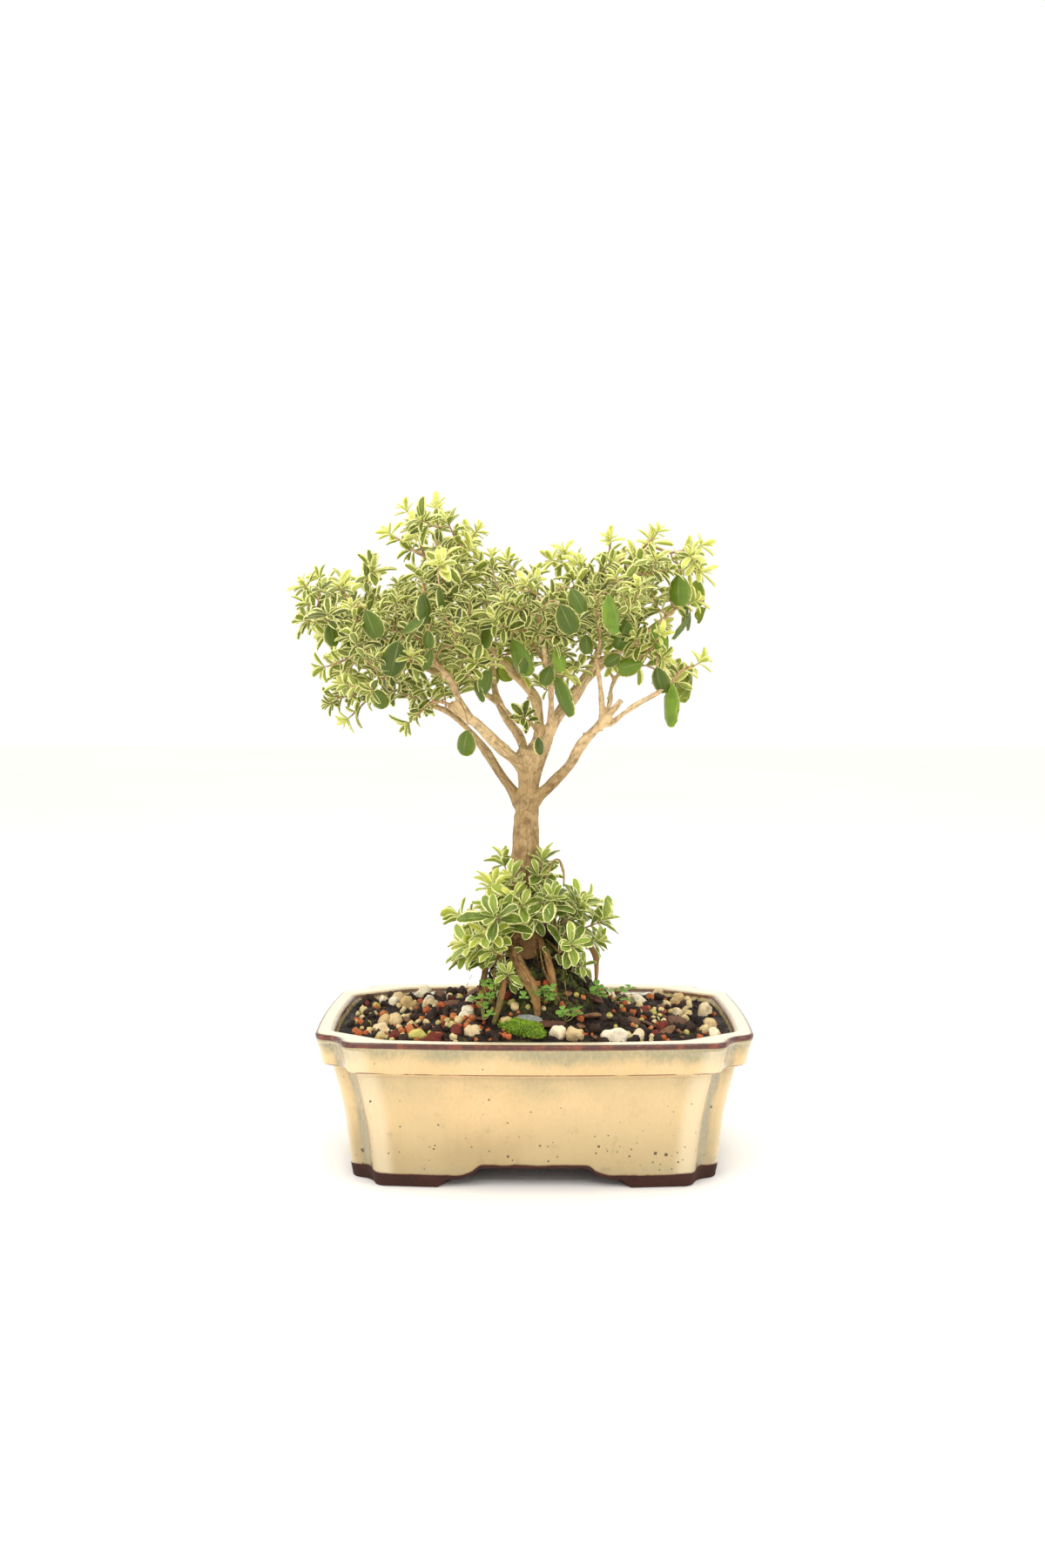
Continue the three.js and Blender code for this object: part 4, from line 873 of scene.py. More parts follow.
class Line:
    """A smooth curve through points, measured along its length."""

    def __init__(self, knots):
        knots = [Vector(k) for k in knots]
        if len(knots) == 2:
            self.points = [knots[0].lerp(knots[1], i / 12) for i in range(13)]
        else:
            self.points = [self.between(knots, i, j / 12) for i in range(len(knots) - 1) for j in range(12)]
            self.points.append(knots[-1])
        self.reach = [0.0]
        for a, b in zip(self.points, self.points[1:]):
            self.reach.append(self.reach[-1] + (b - a).length)
        self.length = self.reach[-1]

    @staticmethod
    def between(knots, i, t):
        """A centripetal spline between knots i and i + 1."""
        a, b = knots[i], knots[i + 1]
        before = knots[i - 1] if i > 0 else 2 * a - b
        after = knots[i + 2] if i + 2 < len(knots) else 2 * b - a
        d0 = max((a - before).length, 1e-4) ** 0.5
        d1 = max((b - a).length, 1e-4) ** 0.5
        d2 = max((after - b).length, 1e-4) ** 0.5
        start = ((a - before) / d0 - (b - before) / (d0 + d1) + (b - a) / d1) * d1
        end = ((b - a) / d1 - (after - a) / (d1 + d2) + (after - b) / d2) * d1
        cubic = (2 * a - 2 * b + start + end) * t**3
        return cubic + (3 * b - 3 * a - 2 * start - end) * t**2 + start * t + a

    def split(self, steps):
        """Points that divide the curve into equal steps."""
        return [self.at(i / steps)[0] for i in range(steps + 1)]

    def at(self, t):
        """The point and the direction at a share of the length."""
        goal = min(max(t, 0), 1) * self.length
        i = 0
        while i < len(self.reach) - 2 and self.reach[i + 1] < goal:
            i += 1
        part = (goal - self.reach[i]) / max(self.reach[i + 1] - self.reach[i], 1e-6)
        a, b = self.points[i], self.points[i + 1]
        return a.lerp(b, part), (b - a).normalized()


def sideways(direction):
    """A unit vector at right angles to a direction."""
    away = UP if abs(direction.z) < 0.9 else Vector((1, 0, 0))
    return away.cross(direction).normalized()


def turned(vector, axis, angle):
    return Matrix.Rotation(angle, 3, axis) @ vector


def jitter(rng, amount):
    return Vector((rng.gauss(0, amount), rng.gauss(0, amount), rng.gauss(0, amount)))


def clamp(value, low=0, high=1):
    return min(high, max(low, value))


def bend_at(start, bend, end, t):
    """A point of a quadratic curve."""
    return tuple((1 - t) ** 2 * a + 2 * t * (1 - t) * b + t * t * c for a, b, c in zip(start, bend, end))


def tube(line, radius_at, sides, steps):
    """Points and faces of a closed tube, and its rings' centres with their axes."""
    points, spine = [], []
    side = None
    for j in range(steps + 1):
        centre, direction = line.at(j / steps)
        if side is None:
            side = sideways(direction)
        else:
            side = (side - direction * side.dot(direction)).normalized()
        other = direction.cross(side)
        spine.append((centre, side, other, j / steps * line.length))
        for i in range(sides):
            angle = 2 * pi * i / sides
            arm = side * cos(angle) + other * sin(angle)
            points.append(centre + arm * radius_at(j / steps))
    faces = quads(steps + 1, sides)
    faces.append(tuple(reversed(range(sides))))
    faces.append(tuple(steps * sides + i for i in range(sides)))
    return points, faces, spine


# Pot


# The cut between two feet as curves (start, bend, end): how far in and how high
FOOT_LEDGE = FOOT_HEIGHT * 0.4
FOOT_ARCS = [
    ((0, 0), (1, FOOT_LEDGE - 0.6), (5, FOOT_LEDGE)),
    ((5, FOOT_LEDGE), (14, FOOT_LEDGE + 0.6), (17, FOOT_HEIGHT - 2)),
    ((17, FOOT_HEIGHT - 2), (18.5, FOOT_HEIGHT), (22, FOOT_HEIGHT)),
]


def foot_rise(distance):
    """Height of the cut between two feet, this far in from its end."""
    if distance <= 0:
        return 0.0
    for arc in FOOT_ARCS:
        if distance < arc[-1][0]:
            low, high = 0.0, 1.0
            for _ in range(20):
                t = (low + high) / 2
                low, high = (t, high) if distance > bend_at(*arc, t)[0] else (low, t)
            return bend_at(*arc, t)[1]
    return FOOT_HEIGHT


def pot_foot(x, y):
    """Height of the pot's lower edge at a place on its plan."""
    return max(foot_rise(44 - abs(x)), foot_rise(26 - abs(y)))


# One corner of the pot's plan as curves (start, bend, end), each point given as how far it
# lies in from the sides and from the front: the outer wall, then the rim's inner edge
OUTER_CORNER = [
    ((21, 0), (15.5, 0), (14, 5)), ((14, 5), (12, 12), (6.5, 14)), ((6.5, 14), (0, 16), (0, 22.5)),
]
INNER_CORNER = [
    ((36, 0), (30, 0), (26, 2.7)), ((26, 2.7), (15, 9.9), (4, 17.3)), ((4, 17.3), (0, 20), (0, 24)),
]

# The pot's rings, each with its height and how far in it lies along x and y. More columns
# say how strongly a ring belongs to a zone
UNDERSIDE = [
    (0.0, 22.0, 18.5), (0.0, 26.6, 22.6), (0.4, 27.0, 23.0), (RECESS_TOP - 0.6, 28.0, 24.0),
    (RECESS_TOP, 28.8, 24.8),
]
BODY = [
    (0, 16.2, 13.6), (6, 15.2, 12.6), (18, 14.1, 11.5), (30, 12.8, 10.2), (42, 10.4, 8.1),
    (50, 8.4, 6.4), (54.2, 7.6, 5.6),
]
BODY_HEIGHTS = (
    0.35, 1, 2, 3, 4, 4.6, 5.2, 5.8, 6.4, 7, 8, 9.5, 11.5, 14, 18, 22, 26, 30, 34, 38, 42, 46,
    49, 51.5, 53.4,
)
LEDGE = [
    (54.4, 7.6, 5.7, 0.3), (54.9, 7.3, 5.4, 0.5), (55.1, 6.4, 4.7, 0.6), (55.2, 5.0, 3.8, 0.75),
    (55.25, 4.0, 3.0, 0.95), (55.5, 3.35, 2.55, 1.0), (55.8, 3.1, 2.4, 0.95),
    (56.3, 2.95, 2.25, 0.35), (57, 2.75, 2.1, 0.0),
]
BAND = [(58.5, 2.5, 1.9), (61, 1.95, 1.5), (63.5, 1.35, 1.05), (66, 0.7, 0.55)]
RIM = [
    (67.2, 0.4, 0.3, 0.25, 0.0, 0), (67.8, 0.25, 0.2, 0.66, 0.0, 0), (68.4, 0.15, 0.1, 0.95, 0.0, 0),
    (68.9, 0.12, 0.1, 1.0, 0.0, 0), (69.35, 0.25, 0.2, 1.0, 0.0, 0), (69.7, 0.6, 0.55, 0.9, 0.1, 0),
    (69.92, 1.2, 1.2, 0.5, 0.5, 0), (70.0, 2.1, 2.1, 0.1, 0.95, 0.12), (70.0, 3.4, 3.4, 0, 1, 0.35),
    (69.95, 4.8, 4.8, 0, 1, 0.6), (69.8, 6.2, 6.2, 0, 1, 0.85),
]
INNER_WALL = [
    (69.5, 7.2, 7.2, 0.4), (69.0, 7.9, 7.9, 0.85), (68.4, 8.3, 8.3, 1.0), (67.6, 8.6, 8.6, 0.7),
    (66.4, 9.1, 9.1, 0.3), (64, 9.9, 9.9, 0), (60, 11.2, 11.2, 0), (50, 13.4, 13.1, 0), (38, 16, 15.2, 0),
    (26, 18.7, 17.2, 0), (18, 20.4, 18.6, 0), (15.6, 21.2, 19.3, 0), (FLOOR_TOP, 22.6, 20.6, 0),
]
FEET_FADE = 34  # Above this height the cuts between the feet no longer bend the rings
FOOT_IN_X, FOOT_IN_Y = 16, 13.4
CLAY = 4.0  # Stands for clay that is surely bare


def pot_plan(long_steps, short_steps, corner_steps):
    """Points round the pot's outer wall and, matching them, round the opening, with how
    close each lies to the hollow of a corner."""
    half_w, half_d = POT_WIDTH / 2, POT_DEPTH / 2
    plans = []
    for corner in (OUTER_CORNER, INNER_CORNER):
        plan, creases = [], []
        start = (-half_w + corner[0][0][0], -half_d)
        for sx, sy in ((1, -1), (1, 1), (-1, 1), (-1, -1)):
            along_x = sx * sy < 0
            curves = [[(sx * (half_w - x), sy * (half_d - y)) for x, y in curve] for curve in corner]
            if not along_x:
                curves = [curve[::-1] for curve in reversed(curves)]
            first = curves[0][0]
            bow = (0, sy * FRONT_BOW) if along_x else (sx * SIDE_BOW, 0)
            middle = [(a + b) / 2 + 2 * c for a, b, c in zip(start, first, bow)]
            steps = long_steps if along_x else short_steps
            for k in range(steps):
                t = k / steps
                plan.append(bend_at(start, middle, first, t))
                creases.append(max(0, 0.3 - 3 * min(t, 1 - t)))
            for curve, (low, high) in zip(curves, ((0.3, 0.5), (0.5, 0.5), (0.5, 0.3))):
                for k in range(corner_steps):
                    t = k / corner_steps
                    plan.append(bend_at(*curve, t))
                    creases.append(low + (high - low) * t + (1.9 * t * (1 - t) if low == high else 0))
            start = curves[-1][-1]
        plans.append(plan)
    return plans[0], plans[1], creases


def eased(table, at):
    """A smooth reading of a table of rows (key, value, ...)."""
    for low, high in zip(table, table[1:]):
        if at <= high[0]:
            t = max(0.0, (at - low[0]) / (high[0] - low[0]))
            return [a + (b - a) * t for a, b in zip(low[1:], high[1:])]
    return list(table[-1][1:])


def pot_profile():
    """Rings of the pot from the outer foot up over the rim and down to the inner floor:
    height, how far in from the widest plan along x and y, and the zones they belong to."""
    rings = [(0, 17.0, 14.4, {})]
    for z in BODY_HEIGHTS:
        rings.append((z, *eased(BODY, z), {"outside": 1.0}))
    for z, dx, dy, step in LEDGE:
        rings.append((z, dx, dy, {"step": step, "band": 1.0, "outside": 1.0}))
    for z, dx, dy in BAND:
        rings.append((z, dx, dy, {"band": 1.0, "outside": 1.0}))
    for z, dx, dy, lip, top, opening in RIM:
        zones = {"lip": lip, "rim_top": top, "band": 1.0, "outside": 1.0 - top, "opening": opening}
        rings.append((z, dx, dy, zones))
    for z, dx, dy, lip in INNER_WALL:
        zones = {"inner_lip": lip, "inside": 1.0 if z < 69 else 0.4, "opening": 1.0}
        rings.append((z, dx, dy, zones))
    return rings


def inset(x, y, dx, dy):
    """A place on the pot's plan after the plan shrinks by that much at each side."""
    half_w, half_d = POT_WIDTH / 2, POT_DEPTH / 2
    return x * (half_w - dx) / half_w, y * (half_d - dy) / half_d


def hole_ring(shell, centre_x, height, sides=24):
    verts = []
    for i in range(sides):
        angle = 2 * pi * i / sides
        x, y = centre_x + DRAIN_RADIUS * cos(angle), DRAIN_RADIUS * sin(angle)
        verts.append(shell.verts.new(to_frame((x, y, height))))
    edges = [shell.edges.new((a, b)) for a, b in zip(verts, verts[1:] + verts[:1])]
    return verts, edges


def build_pot(look):
    """The pot as one closed shell: walls, banded rim, cloud feet, recess and drains."""
    plan, opening, creases = pot_plan(112, 56, 10)
    around = len(plan)
    zones = ("lip", "inner_lip", "rim_top", "step", "band", "inside", "outside")
    layers = {key: [] for key in (*zones, "crease", "clay")}
    points = []

    def add_ring(z, dx, dy, zone, is_under):
        share = zone.get("opening", 0.0)
        for outer, inner, crease in zip(plan, opening, creases):
            px, py = (a + (b - a) * share for a, b in zip(outer, inner))
            foot = pot_foot(*inset(px, py, FOOT_IN_X, FOOT_IN_Y))
            here = z
            if is_under:
                here = foot + (RECESS_TOP - foot) * z / RECESS_TOP
            elif z < FEET_FADE and "inside" not in zone:
                here = foot + z * (FEET_FADE - foot) / FEET_FADE
            points.append((*inset(px, py, dx, dy), here))
            for key in zones:
                layers[key].append(zone.get(key, 0.0))
            layers["crease"].append(crease if z < 67 and not is_under else 0.0)
            above = max(5.2 + 1.3 * min(1, crease), foot + 1.0) - here
            layers["clay"].append(CLAY if is_under else clamp(above, -CLAY, CLAY) if here < 14 else -CLAY)

    for z, dx, dy in reversed(UNDERSIDE):
        add_ring(z, dx, dy, {}, True)
    for z, dx, dy, zone in pot_profile():
        add_ring(z, dx, dy, zone, False)
    count = len(points) // around
    mesh = new_mesh("pot", points, quads(count, around), layers)
    shell = bmesh.new()
    shell.from_mesh(mesh)
    clay = shell.verts.layers.float["clay"]
    ring_verts = list(shell.verts)
    walls = []
    for first, height in ((0, RECESS_TOP), ((count - 1) * around, FLOOR_TOP)):
        rim = ring_verts[first : first + around]
        edges = [shell.edges.get((rim[i], rim[(i + 1) % around])) for i in range(around)]
        holes = [hole_ring(shell, side * DRAIN_SPACING / 2, height) for side in (-1, 1)]
        for verts, hole_edges in holes:
            edges.extend(hole_edges)
            for vert in verts:
                vert[clay] = CLAY if first == 0 else -CLAY
        bmesh.ops.triangle_fill(shell, use_beauty=True, use_dissolve=False, edges=edges)
        walls.append([verts for verts, _ in holes])
    for lower, upper in zip(*walls):
        for i in range(len(lower)):
            k = (i + 1) % len(lower)
            shell.faces.new((lower[i], lower[k], upper[k], upper[i]))
    bmesh.ops.recalc_face_normals(shell, faces=shell.faces)
    for face in shell.faces:
        face.smooth = True
    shell.to_mesh(mesh)
    shell.free()
    mesh.set_sharp_from_angle(angle=radians(50))
    show("glazed_pot", mesh, "glaze", ["pot"], glaze_finish(look))


def build_screens():
    """Woven screens over the drain holes."""
    plan = Plan("Woven Screen")
    width = plan.ask("Width", "Float", 0.029)
    count = plan.ask("Wires", "Int", 12)
    wire = plan.ask("Wire", "Float", 0.00034)
    sockets = {"Size X": width, "Size Y": width, "Vertices X": count, "Vertices Y": count}
    grid = plan.node("GeometryNodeMeshGrid", {}, sockets, "Mesh")
    plan.finish(plan.clad(plan.pipes(grid, 5, wire), "Finish"))
    material = screen_finish()
    for name in ("screen_left", "screen_right"):
        low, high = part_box(name)
        carrier = helper("screen_base", bpy.data.meshes.new("screen_base"))
        mesh = plan.run(carrier, {"Finish": material})
        mesh.transform(Matrix.Translation((low + high) / 2))
        show(name + "_mesh", mesh, "screen_mesh", [name])


# Soil and what lies on it

SOIL_RINGS = 58
SOIL_INSET = 9.6


def soil_height(x, y):
    far = (x * x + y * y) / 40**2
    near = ((x - 4) ** 2 + y * y) / 22**2
    return 66 + 14 * exp(-far) + 33 * exp(-near)


def soil_relief(x, y):
    """Crumbs and hollows over the soil's broad shape."""
    lump = noise.noise(Vector((x / 7, y / 7, 0.3)))
    crumb = noise.noise(Vector((x / 2.8, y / 2.8, 4.1)))
    grain = noise.noise(Vector((x / 1.4, y / 1.4, 7.7)))
    return 1.5 * lump + 1.1 * crumb + 0.45 * grain


def build_soil(look):
    _, plan, _ = pot_plan(64, 36, 5)
    points = []
    for k in range(SOIL_RINGS):
        share = ((k + 1) / SOIL_RINGS) ** 0.85
        for px, py in plan:
            x, y = inset(px * share, py * share, SOIL_INSET, SOIL_INSET)
            points.append((x, y, soil_height(x, y) + soil_relief(x, y) * min(1, 6 * (1.02 - share))))
    for z, dx, dy in ((50, 14.1, 13.8), (30, 18.4, 17.1), (FLOOR_TOP + 1.2, 22.6, 20.6)):
        points += [(*inset(*place, dx, dy), z) for place in plan]
    around, top = len(plan), len(points)
    faces = quads(top // around, around)
    points += [(0, 0, soil_height(0, 0)), (0, 0, FLOOR_TOP + 1.2)]
    for i in range(around):
        after = (i + 1) % around
        faces += [(top, i, after), (top + 1, top - around + after, top - around + i)]
    mesh = new_mesh("soil", points, faces)
    outward(mesh)
    show("potting_soil", mesh, "soil", ["soil"], soil_finish(look))


def stone_points(seed, detail, flat, rough, facets):
    """A stone about 1 mm across: a ball cut by random planes, then roughened."""
    rng = random.Random(seed)
    ball = bmesh.new()
    bmesh.ops.create_icosphere(ball, subdivisions=detail, radius=0.5)
    cuts = [(jitter(rng, 1).normalized(), rng.uniform(0.28, 0.42)) for _ in range(facets)]
    shift = Vector((rng.random(), rng.random(), rng.random())) * 50
    points = []
    for vert in ball.verts:
        point = vert.co.copy()
        for axis, limit in cuts:
            point -= axis * max(0, point.dot(axis) - limit) * 0.9
        lumps = noise.noise(point * 3.2 + shift)
        point *= 1 + rough * lumps + 0.5 * rough * noise.noise(point * 8 + shift)
        if flat < 1:
            point.y *= 0.75 + 0.2 * rng.random()
        points.append(Vector((point.x, point.y, point.z * flat)))
    faces = [tuple(v.index for v in f.verts) for f in ball.faces]
    ball.free()
    return points, faces


def lying_stone(name, place, size, turn, seed, facets, rough, tint):
    """A stone of that size as it lies on the soil."""
    points, faces = stone_points(seed, 4, 1.0, rough, facets)
    x, y, lift = place
    middle = Vector((x, y, soil_height(x, y) + lift))
    spun = Matrix.Rotation(turn, 3, "Z")
    placed = [spun @ Vector([c * s for c, s in zip(p, size)]) + middle for p in points]
    return new_mesh(name, placed, faces, {"tint": [tint] * len(placed)})


def bump_at(x, y, peaks):
    """How strongly a place lies in any of the peaks (x, y, reach x, reach y, strength)."""
    return sum(s * exp(-(((x - a) / u) ** 2) - ((y - b) / v) ** 2) for a, b, u, v, s in peaks)


# Kinds of grit: how many, smallest and largest size in millimetres, where it lies thickest
# (x, y, reach x, reach y, strength), its finish, and its shape (seed, detail, flatness,
# roughness, facets, smooth)
GRIT = {
    "Lump": (240, 2.6, 7.5, [(-30, 0, 60, 60, 0.7), (25, -22, 40, 26, 0.7), (0, 40, 90, 20, 0.6)],
        ("soil_lump", "1c120b", "40291a", "0b0706", 0.5, 0.8), (1, 2, 0.85, 0.8, 2, True)),
    "Boulder": (26, 7.0, 10.5, [(70, -8, 18, 30, 1.0), (-78, -22, 12, 12, 0.8), (-66, -44, 16, 8, 0.6),
        (40, -48, 40, 6, 0.7), (-70, 26, 16, 16, 0.9), (22, -27, 8, 6, 0.5), (-20, 40, 50, 10, 0.3),
        (40, 36, 40, 12, 0.4)],
        ("pale_stone", "faf0d2", "d6b67c", "94784a", 1.0), (9, 3, 0.85, 0.26, 7, True)),
    "Pumice": (76, 3.2, 6.6, [(70, -6, 20, 34, 1.0), (-72, -4, 16, 24, 0.7), (34, -49, 46, 5, 1.0),
        (-70, -38, 22, 12, 0.8), (-34, -49, 30, 5, 0.7), (30, 38, 60, 14, 0.4), (-30, 44, 60, 8, 0.4),
        (22, -26, 9, 7, 0.8), (-12, -27, 6, 6, 0.5), (-52, 10, 14, 12, 0.5)],
        ("pumice", "pumice", "d8c28a", "a58c5c"), (2, 2, 0.85, 0.26, 6, True)),
    "Lava": (170, 2.0, 5.6, [(-44, -30, 20, 9, 1.0), (-22, -44, 14, 6, 0.7), (2, -50, 14, 4, 0.8),
        (30, 6, 14, 10, 0.9), (16, -28, 9, 6, 0.4)],
        ("orange_lava", "lava", "d88a52", "823419", 0.5, 0.95), (3, 2, 0.9, 0.4, 4, True)),
    "Scoria": (16, 4.0, 9.0, [(-38, -46, 40, 8, 0.8), (50, 0, 40, 30, 0.4), (-50, 20, 40, 20, 0.4)],
        ("red_scoria", "scoria", "8a3a2c", "3a1512", 0.6, 0.95), (4, 2, 0.8, 0.3, 5, False)),
    "Chip": (40, 5.0, 13.0, [(14, -36, 34, 10, 0.9), (62, -20, 20, 18, 0.5), (-30, 26, 50, 20, 0.6)],
        ("wood_chip", "chip", "8a6242", "2d1a12", 1.2, 0.85), (5, 2, 0.26, 0.2, 6, False)),
    "Crumb": (1500, 0.9, 2.3, [(0, 0, 90, 60, 0.6)],
        ("soil_crumb", "150d08", "4c321d", "0d0806", 0.5, 0.8), (8, 1, 0.9, 0.5, 2, False)),
    "Tawny": (46, 2.6, 5.2, [(-44, -34, 30, 12, 0.8), (60, -20, 30, 24, 0.6), (30, 10, 12, 10, 0.5),
        (-30, -24, 12, 8, 0.8)],
        ("tawny_grit", "b9a94a", "ddd08a", "7c7a2c"), (6, 2, 0.85, 0.12, 4, True)),
}


def lies_free(x, y, size):
    """True inside the pot's opening, off its slanting corners."""
    limit_x, limit_y = 91 - size * 0.4, 56.5 - 3.5 * (x / 90) ** 2 - size * 0.4
    return abs(x) < limit_x and abs(y) < limit_y and abs(y) + 0.62 * abs(x) < 94 - size * 0.5


def build_grit(look):
    rng = random.Random(look.seed)
    growth = Growth()
    laid = [(x, y, 0.42 * size[0]) for (x, y, _), size, *_ in STONES.values()]
    laid.append((*MOSS[0][:2], 8.0))
    for name in sorted(GRIT, key=lambda key: -GRIT[key][2]):
        count, small, large, peaks, *_ = GRIT[name]
        kind = list(GRIT).index(name)
        made, tries = 0, 0
        while made < count and tries < 60 * count:
            tries += 1
            x, y = rng.uniform(-90, 90), rng.uniform(-53, 53)
            if rng.random() > 0.12 + bump_at(x, y, peaks):
                continue
            size = small + (large - small) * rng.random() ** 1.7
            close = 0.36 * size
            if not lies_free(x, y, size) or name != "Crumb" and any(
                (x - a) ** 2 + (y - b) ** 2 < (0.8 * (close + r)) ** 2 for a, b, r in laid
            ):
                continue
            if (x - 4) ** 2 + y * y < 17**2 and name not in ("Lump", "Crumb"):
                continue
            laid.append((x, y, close))
            raised = size * (0.16 if name != "Chip" else 0.1)
            place = (x, y, soil_height(x, y) + 0.5 * soil_relief(x, y) + raised)
            turn = tuple(rng.uniform(-3.1, 3.1) for _ in range(3))
            if name == "Chip":
                turn = (rng.gauss(0, 0.3), rng.gauss(0, 0.3), rng.uniform(-3.1, 3.1))
            growth.add_point(place, kind, turn, size, rng.random())
            made += 1
    plan = repeat_plan("Scattered Grit", list(GRIT), False)
    values = {"Size": 1.0, "Size Spread": 0.08, "Seed": look.seed}
    shapes = []
    for name, (*_, finish, (seed, detail, flat, rough, facets, smooth)) in GRIT.items():
        points, faces = stone_points(seed, detail, flat, rough, facets)
        points = [point * look.grain for point in points]
        shapes.append(helper(name, plain_mesh(name, points, faces, None, smooth)))
        values[name + " Shape"] = shapes[-1]
        values[name + " Finish"] = stone_finish(look, *finish)
    mesh = plan.run(growth.carrier("grit_points"), values)
    drop(*shapes)
    show("loose_grit", mesh, "soil", [])


def build_stones(look):
    """The larger stones and chips that lie along the front."""
    finishes = {slot: stone_finish(look, *rest) for slot, rest in STONE_FINISHES.items()}
    for name, (place, size, turn, seed, facets, rough, tint, slot) in STONES.items():
        mesh = lying_stone(name, place, size, turn, seed, facets, rough, tint)
        show(name + "_piece", mesh, slot, [name], finishes[slot])


def build_moss(look):
    """A cushion of moss: a mound with short shoots standing all over it."""
    mound = lying_stone("moss_mound", *MOSS, 23, 0, 0.5, 0.2)
    plan = Plan("Moss Shoots")
    dense = plan.ask("Density", "Float", 3.2e6)
    seed = plan.ask("Seed", "Int", 3)
    base = plan.source.outputs["Geometry"]
    spread = plan.tree.nodes.new("GeometryNodeDistributePointsOnFaces")
    for key, value in (("Mesh", base), ("Density", dense), ("Seed", seed)):
        plan.tree.links.new(value, spread.inputs[key])
    ends = {0: (-0.6, -0.6, -3.1), 1: (0.6, 0.6, 3.1), 8: seed}
    turn = plan.node("FunctionNodeRandomValue", {"data_type": "FLOAT_VECTOR"}, ends)
    lean = plan.node("FunctionNodeEulerToRotation", {}, {"Euler": turn})
    both = {0: spread.outputs["Rotation"], 1: lean}
    rotation = plan.node("FunctionNodeRotateRotation", {"rotation_space": "LOCAL"}, both)
    sockets = {"Points": spread.outputs["Points"], "Instance": plan.lent("Blade")}
    sockets.update({"Rotation": rotation, "Scale": plan.chance(0.6, 1.4, seed)})
    shoots = plan.node("GeometryNodeInstanceOnPoints", {}, sockets)
    plan.finish(plan.clad(plan.join([base, shoots]), "Finish"))
    verts = [
        (0.16, 0, -0.2), (-0.08, 0.14, -0.2), (-0.08, -0.14, -0.2),
        (0.26, 0, 0.5), (-0.13, 0.22, 0.5), (-0.13, -0.22, 0.5), (0, 0, 1.3),
    ]
    sides = [(0, 2, 1), (0, 1, 4, 3), (1, 2, 5, 4), (2, 0, 3, 5), (3, 4, 6), (4, 5, 6), (5, 3, 6)]
    # Each blade's tint rises from its foot to its tip. The finish turns it into painted shade below and a
    # painted highlight above
    blade_shade_and_highlight = {"tint": [0.2, 0.2, 0.2, 0.6, 0.6, 0.6, 1.0]}
    blade = plain_mesh("moss_blade", [Vector(v) * MM * 0.8 for v in verts], sides, blade_shade_and_highlight, False)
    blade = helper("moss_blade", blade)
    mesh = plan.run(helper("moss_base", mound), {"Blade": blade, "Finish": moss_finish(look)})
    drop(blade)
    show("moss_cushion", mesh, "moss", ["moss_tuft"])


# Wood

STUBS = 26
GRAIN_JUMP = 2.5


def limb_radius(name, start, end, rng):
    """Radius along a limb: it tapers, flares at its foot and swells a little at old nodes."""
    knots = [(rng.random(), rng.uniform(0.04, 0.16), rng.uniform(60, 400)) for _ in range(7)]

    def radius(t):
        if name == "trunk":
            taper = start + (end - start) * t
            scar, slim = 0.7 * sin(t * 17) * sin(t * 5), 1
            flare = 2.2 * exp(-t * 9) + 1.2 * exp(-((t - 0.97) ** 2) * 90)
        else:
            taper = start + (end - start) * t**0.7
            scar, slim = 0.12 * sin(t * 19), 1 - 0.15 * min(1, t * 5)
            flare = 0.3 * exp(-t * 14)
        swell = taper * sum(size * exp(-((t - at) ** 2) * sharp) for at, size, sharp in knots)
        return (taper + scar + flare + swell) * slim

    return radius


THIN_ROOTS = [
    [(-9, -9, 112), (-14, -19, 104), (-15, -26, 96), (-14, -30, 88), (-15, -34, 80), (-21, -42, 71)],
    [(-15, -14, 106), (-18, -22, 100), (-19, -26, 92), (-19, -27, 84), (-19, -28, 76)],
    [(2, -12, 110), (3, -22, 103), (5, -28, 95), (9, -29, 88), (13, -33, 80), (15, -38, 73)],
    [(5, -10, 108), (12, -18, 102), (14, -24, 94), (15, -26, 86), (17, -28, 76)],
    [(14, -4, 104), (22, -8, 98), (26, -11, 88), (27, -13, 76)],
    [(-18, -4, 100), (-24, -6, 92), (-27, -9, 82), (-28, -11, 73)],
    [(8, 12, 106), (16, 20, 96), (20, 26, 86), (24, 30, 74)],
    [(-8, 12, 106), (-12, 22, 96), (-14, 28, 86), (-18, 34, 73)],
    [(-16, 4, 104), (-26, 8, 94), (-32, 12, 84), (-36, 14, 73)],
    [(12, 4, 106), (24, 8, 96), (32, 10, 84), (38, 14, 73)],
    [(-2, -14, 112), (0, -22, 106), (2, -27, 99), (1, -29, 92), (4, -31, 84), (6, -33, 74)],
    [(4, 10, 108), (6, 22, 98), (8, 28, 88), (10, 34, 74)],
]


